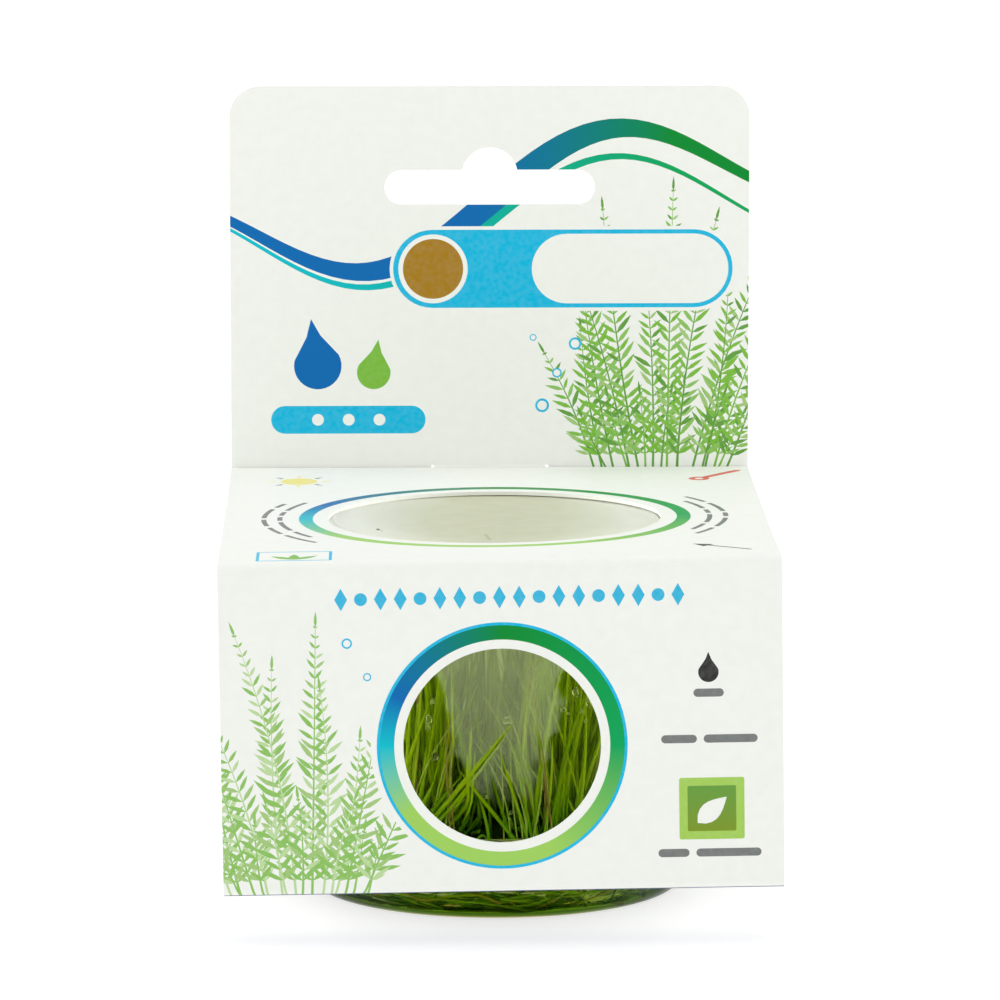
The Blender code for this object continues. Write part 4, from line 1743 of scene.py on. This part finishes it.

# %% [markdown]
# ### Blades set one by one
# A few blades and thin runners lie against the front wall, and a buyer sees them first.
# Chance won't cross them as they do on the real plant, so they are set one by one, each
# as a gentle arch from its foot to its tip, just behind the wall. The five straight ones
# that wipe the fog away are among them.

# %% Set the blades at the front wall
# foot x, tip x, tip z, depth behind the wall, arch, thickness, finish (0 grass, 1 straw, 2 pale)
LONE_BLADES = {
    "tuft_front_left": [
        (-12.1, 2.4, 28.7, 0.5, 0.0, 0.38, 0), (-11.2, 1.9, 27.6, 0.4, 0.3, 0.24, 0),
        (-12.6, -4.9, 20.4, 0.5, -0.2, 0.34, 0), (-15.2, -9.2, 30.6, 0.6, -0.4, 0.36, 0),
        (-6.3, -7.2, 32.6, 0.4, -0.3, 0.13, 1), (-5.8, -6.4, 31.2, 0.4, -0.4, 0.13, 1),
        (-14.4, -8.6, 19.4, 0.6, 0.6, 0.4, 0), (-12.0, -4.4, 17.0, 0.7, -0.5, 0.3, 0),
        (-1.3, -2.7, 17.0, 0.5, 0.3, 0.24, 0), (-12.0, -3.6, 31.2, 0.4, -2.3, 0.13, 2),
        (-1.0, -4.2, 33.0, 4.0, 0.6, 0.2, 0), (-9.6, -2.2, 34.6, 0.5, -1.2, 0.11, 2),
        (-7.6, -6.2, 33.4, 0.5, 0.5, 0.1, 2),
    ],
    "tuft_front_right": [
        (3.3, -5.6, 21.2, 0.5, 0.0, 0.28, 0), (4.2, -0.2, 24.4, 0.5, 0.0, 0.27, 0),
        (2.0, -1.4, 21.0, 0.5, 0.0, 0.26, 0), (7.4, 4.8, 28.4, 0.4, 0.0, 0.17, 1),
        (4.2, 8.6, 37.0, 1.2, -0.6, 0.38, 0), (7.2, 12.0, 33.0, 0.9, -1.2, 0.34, 0),
        (9.8, 11.4, 31.0, 0.7, 0.6, 0.27, 0), (4.0, 1.2, 37.2, 0.4, 2.9, 0.14, 2),
        (5.6, 7.0, 26.0, 0.6, 0.4, 0.2, 0), (3.4, 3.0, 19.0, 0.5, 0.3, 0.2, 0),
        (6.4, 9.2, 24.0, 0.5, -0.3, 0.24, 0), (3.5, -3.3, 33.2, 0.4, 2.5, 0.13, 2),
        (3.2, -3.3, 26.4, 0.4, 1.75, 0.13, 2), (3.7, -2.3, 26.0, 0.4, 1.75, 0.12, 2),
        (4.6, 1.3, 25.2, 0.4, 0.2, 0.24, 0), (5.4, 2.4, 24.8, 0.5, 0.2, 0.18, 0),
        (5.0, -1.2, 35.0, 0.5, 1.4, 0.12, 2), (6.0, 3.0, 38.0, 0.9, 1.2, 0.15, 1),
        (0.6, -0.4, 32.0, 0.5, 0.2, 0.1, 2), (1.5, -5.4, 28.0, 0.5, 2.0, 0.11, 2),
        (6.2, 3.4, 33.6, 0.5, 1.3, 0.11, 2), (2.6, 1.6, 30.2, 0.5, -0.6, 0.1, 2),
    ],
}


def lone_blades(rows):
    """Lines, radii and finishes of blades that are listed one by one."""
    share = shares(BLADE_POINTS)
    foot, tip, top, depth, arch, thick, finish = np.array(rows).T[:, :, None]
    lines = np.empty((len(rows), BLADE_POINTS, 3))
    lines[..., 0] = foot + (tip - foot) * share + arch * np.sin(math.pi * share)
    lines[..., 2] = BLADE_FOOT + (top - BLADE_FOOT) * share
    room = inside_radius(lines[..., 2]) - depth
    lines[..., 1] = -np.sqrt(room ** 2 - lines[..., 0] ** 2)
    return lines, blade_body(0.2) * thick, finish[:, 0].astype(int)


print("blades set one by one:", {node: len(rows) for node, rows in LONE_BLADES.items()})

# %% [markdown]
# ### Planting the cup
# Every plant is its own piece, as a grower would lift it out, and takes the place of one
# tuft of the plain model. It could be one batch of like blades, but real plants hold old
# long leaves, outer ones that lie low and young short ones together, so each is grown
# from a few batches.

# %% Plant the tufts
STRAW_SHARE = 0.045
WALL_MARGIN, WALL_MARGIN_SPREAD = 0.45, 0.9
# batches: count, spread, heights from and to, lean in degrees, how far it parts
SIDE_BATCHES = [(105, 6.0, (22, 40), 12, 1), (85, 6.5, (18, 38), 28, 0.8), (90, 7.5, (6, 15), 24, 0.5)]
BACK_BATCHES = [(110, 6.5, (22, 40), 16, 0.8), (190, 10.0, (22, 42), 28, 0.1), (90, 7.5, (6, 15), 22, 0.2)]
MIDDLE_BATCHES = [(140, 8.5, (3, 8), 25, 0), (16, 8.0, (16, 36), 24, 0)]
# each plant and the batches that it grows from, in the order of their random seeds
PLANTS = {
    "tuft_middle": MIDDLE_BATCHES,
    "tuft_right": SIDE_BATCHES,
    "tuft_back_right": BACK_BATCHES,
    "tuft_back_left": BACK_BATCHES,
    "tuft_left": SIDE_BATCHES,
    "tuft_front_left": SIDE_BATCHES,
    "tuft_front_right": SIDE_BATCHES,
}
FIRST_SEED = 40


def tuft_centre(node):
    """The middle of the lowest points of a tuft of the plain model."""
    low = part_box(node)[0]
    foot = [corner.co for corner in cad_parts[node].data.vertices if corner.co.z < low.z + 1e-5]
    return sum(foot, Vector()) / len(foot) / MM


def make_tuft(node, seed, batches):
    chance = np.random.default_rng(seed)
    centre = tuft_centre(node)
    lines = []
    for count, spread, heights, lean, parting in batches:
        grown = part_tufts(blade_lines(chance, centre, count, spread, heights, lean), parting)
        lines.append(keep_in_cup(grown, WALL_MARGIN + chance.uniform(0, WALL_MARGIN_SPREAD, (count, 1))))
    lines = np.concatenate(lines)
    radii = blade_radii(chance, len(lines))
    finishes = (chance.uniform(0, 1, len(lines)) < STRAW_SHARE).astype(int)
    if node in LONE_BLADES:
        extra, thickness, finish = lone_blades(LONE_BLADES[node])
        lines, radii = np.concatenate([lines, extra]), np.concatenate([radii, thickness])
        finishes = np.concatenate([finishes, finish])
    angle = chance.uniform(0, math.pi, len(lines))
    guide = np.stack([np.cos(angle), np.sin(angle), np.zeros(len(lines))], -1)
    mesh = tubes(node + "_blades", lines, radii, guide, BLADE_SIDES)
    finish_tubes(mesh, finishes, BLADE_POINTS, BLADE_SIDES, (GRASS, STRAW, PALE))
    add_piece(node + "_blades", mesh, node)
    return len(lines)


blade_counts = [make_tuft(node, FIRST_SEED + n, PLANTS[node]) for n, node in enumerate(PLANTS)]
print("blades:", sum(blade_counts))

# %% [markdown]
# ### The root mat
# Where the gel meets the wall, old leaves and roots lie curled along it and show through
# the foot of the cup. A noise texture on the gel would look flat behind the clear wall,
# so they are tubes too, longer ones that run round the wall and wander up and down, with
# a thinner set for the roots. On the right a young crown touches the wall and
# spreads a fan of pale roots over it.

# %% Curl the root mat
MAT_POINTS = 13
MAT_SIDES = 4
MAT_SEED = 77
# strands: count, how far round in radians from and to, rise or fall
BROAD_STRANDS = (1150, (0.2, 0.9), 2.0)
FINE_STRANDS = (200, (0.1, 0.5), 3.5)
FOOT_ROUNDING, FOOT_PULL = 1.4, 0.8
FAN_X, FAN_Z = 11.6, 2.0
FAN_ROOTS = 26
FAN_REACH = (1.5, 6.0)
FAN_TURNED = 0.3


def off_foot(height):
    """How far strands keep in from the wall, where it rounds in to the base."""
    return FOOT_PULL * np.maximum(0, FOOT_ROUNDING - height)


def mat_lines(chance, count, spans, lean):
    """Lines that run round the wall of the cup within the gel's height."""
    share = shares(MAT_POINTS)
    start = chance.uniform(0, 2 * math.pi, (count, 1))
    span = chance.uniform(*spans, (count, 1)) * chance.choice([-1, 1], (count, 1))
    angle = start + span * share
    foot = chance.uniform(0.7, GEL_TOP - 1.0, (count, 1))
    height = foot + chance.normal(0, lean, (count, 1)) * share
    bends = chance.uniform(1, 2.5, (count, 1))
    height += np.sin(share * math.pi * bends) * chance.normal(0, 0.7, (count, 1))
    height = np.clip(height, 0.85 + chance.uniform(0, 0.3, (count, 1)), GEL_TOP + 0.5)
    inset = chance.uniform(0.28, MAT_DEPTH - 0.2, (count, 1)) + 0.2 * np.sin(share * 9 + start)
    radius = inside_radius(height) - inset - off_foot(height)
    return np.stack([radius * np.cos(angle), radius * np.sin(angle), height], -1)


def fan_lines(chance):
    """Roots that spread over the inside of the wall from one crown."""
    share, size = shares(MAT_POINTS), (FAN_ROOTS, 1)
    heading = chance.normal(0.5, 0.9, size)
    heading += math.pi * (chance.uniform(0, 1, size) < FAN_TURNED)
    heading = heading + chance.normal(0, 0.5, size) * share
    reach = chance.uniform(*FAN_REACH, size) * share
    height = np.clip(FAN_Z + reach * np.sin(heading), 1.2, GEL_TOP)
    across = FAN_X + reach * np.cos(heading)
    radius = inside_radius(height) - chance.uniform(0.2, 0.35, size) - off_foot(height)
    return np.stack([across, -np.sqrt(radius ** 2 - across ** 2), height], -1)


def make_root_mat():
    chance = np.random.default_rng(MAT_SEED)
    broad, fine = mat_lines(chance, *BROAD_STRANDS), mat_lines(chance, *FINE_STRANDS)
    fan = fan_lines(chance)
    taper = 1 - 0.85 * shares(MAT_POINTS) ** 4
    radii = np.concatenate([
        taper * chance.uniform(0.1, 0.22, (len(broad), 1)),
        taper * chance.uniform(0.05, 0.1, (len(fine), 1)),
        taper * chance.uniform(0.06, 0.11, (len(fan), 1)),
    ])
    lines = np.concatenate([broad, fine, fan])
    guide = unit(np.cross(lines[:, -1] - lines[:, 0], lines.mean(1) * (1, 1, 0)))
    mesh = tubes("root_mat", lines, radii, guide, MAT_SIDES)
    pale = np.arange(len(lines)) >= len(lines) - len(fan)
    finish_tubes(mesh, pale, MAT_POINTS, MAT_SIDES, (ROOTS, PALE))
    add_piece("root_mat", mesh)
    return len(lines)


print("strands in the root mat:", make_root_mat())

# %% [markdown]
# ## Water drops
# Small drops hang on the inner wall where the fog has run together. Spheres pushed into
# the wall would look like beads. Real drops are flattened domes with a wavy edge, because
# water clings unevenly, so each dome here is flat, and its girth wanders round it. They
# are clear water, and they sparkle because they gather the bright tent into a point.

# %% Draw a drop
DROP_RINGS = 6
DROP_TURNS = 20
DROP_HEIGHT = 0.75
DROP_STRETCH = 1.12
DROP_SINK = 0.02
DROP_WOBBLE = (0.2, 0.14, 0.08)


def dome(x, z, size, phases):
    """Rings of an uneven, flattened drop on the inside of the wall, at a place seen from the front."""
    wall = inside_radius(z)
    bearing = math.asin(max(-1, min(1, x / wall)))
    out = Vector((math.sin(bearing), -math.cos(bearing), -CUP_TAPER)).normalized()
    across = Vector((0, 0, 1)).cross(out).normalized()
    up = out.cross(across)
    base = Vector((x, -math.cos(bearing) * wall, z)) - out * DROP_SINK
    places = []
    for ring_number in range(DROP_RINGS):
        lift = math.sin(QUARTER * ring_number / DROP_RINGS)
        girth = math.cos(QUARTER * ring_number / DROP_RINGS)
        for turn in range(DROP_TURNS):
            angle = 2 * math.pi * turn / DROP_TURNS
            reach = size * girth
            for order, (wobble, phase) in enumerate(zip(DROP_WOBBLE, phases), 2):
                reach *= 1 + wobble * math.sin(order * angle + phase)
            flat = across * math.cos(angle) + up * math.sin(angle) * DROP_STRETCH
            places.append(base + flat * reach - out * size * DROP_HEIGHT * lift)
    places.append(base - out * size * DROP_HEIGHT)
    return places


def dome_faces(start):
    """The faces of one drop whose first point has the number start."""
    faces = [[start + turn for turn in range(DROP_TURNS)]]
    for ring_number in range(DROP_RINGS - 1):
        for turn in range(DROP_TURNS):
            after = (turn + 1) % DROP_TURNS
            low = start + ring_number * DROP_TURNS
            faces.append([low + after, low + turn, low + turn + DROP_TURNS, low + after + DROP_TURNS])
    low = start + (DROP_RINGS - 1) * DROP_TURNS
    tip = start + DROP_RINGS * DROP_TURNS
    faces += [[low + (turn + 1) % DROP_TURNS, low + turn, tip] for turn in range(DROP_TURNS)]
    return faces


print("faces on a drop:", len(dome_faces(0)))

# %% [markdown]
# ### Where the drops hang
# Drops run together in a few places, so they are strewn in clusters rather than evenly.
# Small ones are far more common than large ones.

# %% Add the drops
WATER_IOR = 1.33
DROP_SEED = 9
DROP_LEAST, DROP_SPREAD = 0.16, 0.38
# clusters: x, z, how many drops, how far they stray
DROP_CLUSTERS = [
    (-9.4, 26.7, 4, 0.5), (-8.5, 23.0, 6, 0.5), (-8.9, 30.4, 2, 0.4), (14.0, 26.8, 3, 0.4),
    (14.3, 24.9, 2, 0.3), (11.0, 28.7, 3, 0.5), (11.8, 30.3, 2, 0.4), (1.4, 14.6, 2, 0.4),
    (-1.5, 17.1, 2, 0.5), (4.5, 34.4, 3, 0.9), (1.8, 29.8, 2, 0.6), (8.8, 28.5, 3, 0.8),
    (10.1, 31.4, 3, 0.6), (-13.0, 25.0, 3, 0.6),
]


def water_material():
    material = plain_material("water_drops", (1, 1, 1), 0.0, Transmission_Weight=1, IOR=WATER_IOR)
    tree = material.node_tree
    feed(material, Roughness=remap(tree, noise(tree, 0.002), 0.2, 0.8, 0.0, 0.03))
    return material


def make_drops():
    chance = np.random.default_rng(DROP_SEED)
    spots = [(x, z, stray) for x, z, count, stray in DROP_CLUSTERS for number in range(count)]
    places, faces = [], []
    for x, z, stray in spots:
        spot_x = x + chance.normal(0, stray * 0.5)
        spot_z = z + chance.normal(0, stray)
        size = DROP_LEAST + DROP_SPREAD * chance.uniform() ** 2
        faces += dome_faces(len(places))
        places += dome(spot_x, spot_z, size, chance.uniform(0, 2 * math.pi, 3))
    mesh = bpy.data.meshes.new("water_drops")
    mesh.from_pydata([place * MM for place in places], [], faces)
    mesh.shade_smooth()
    mesh.set_sharp_from_angle(angle=math.radians(60))
    mesh.materials.append(water_material())
    add_piece("water_drops", mesh)
    return len(spots)


print("drops:", make_drops())
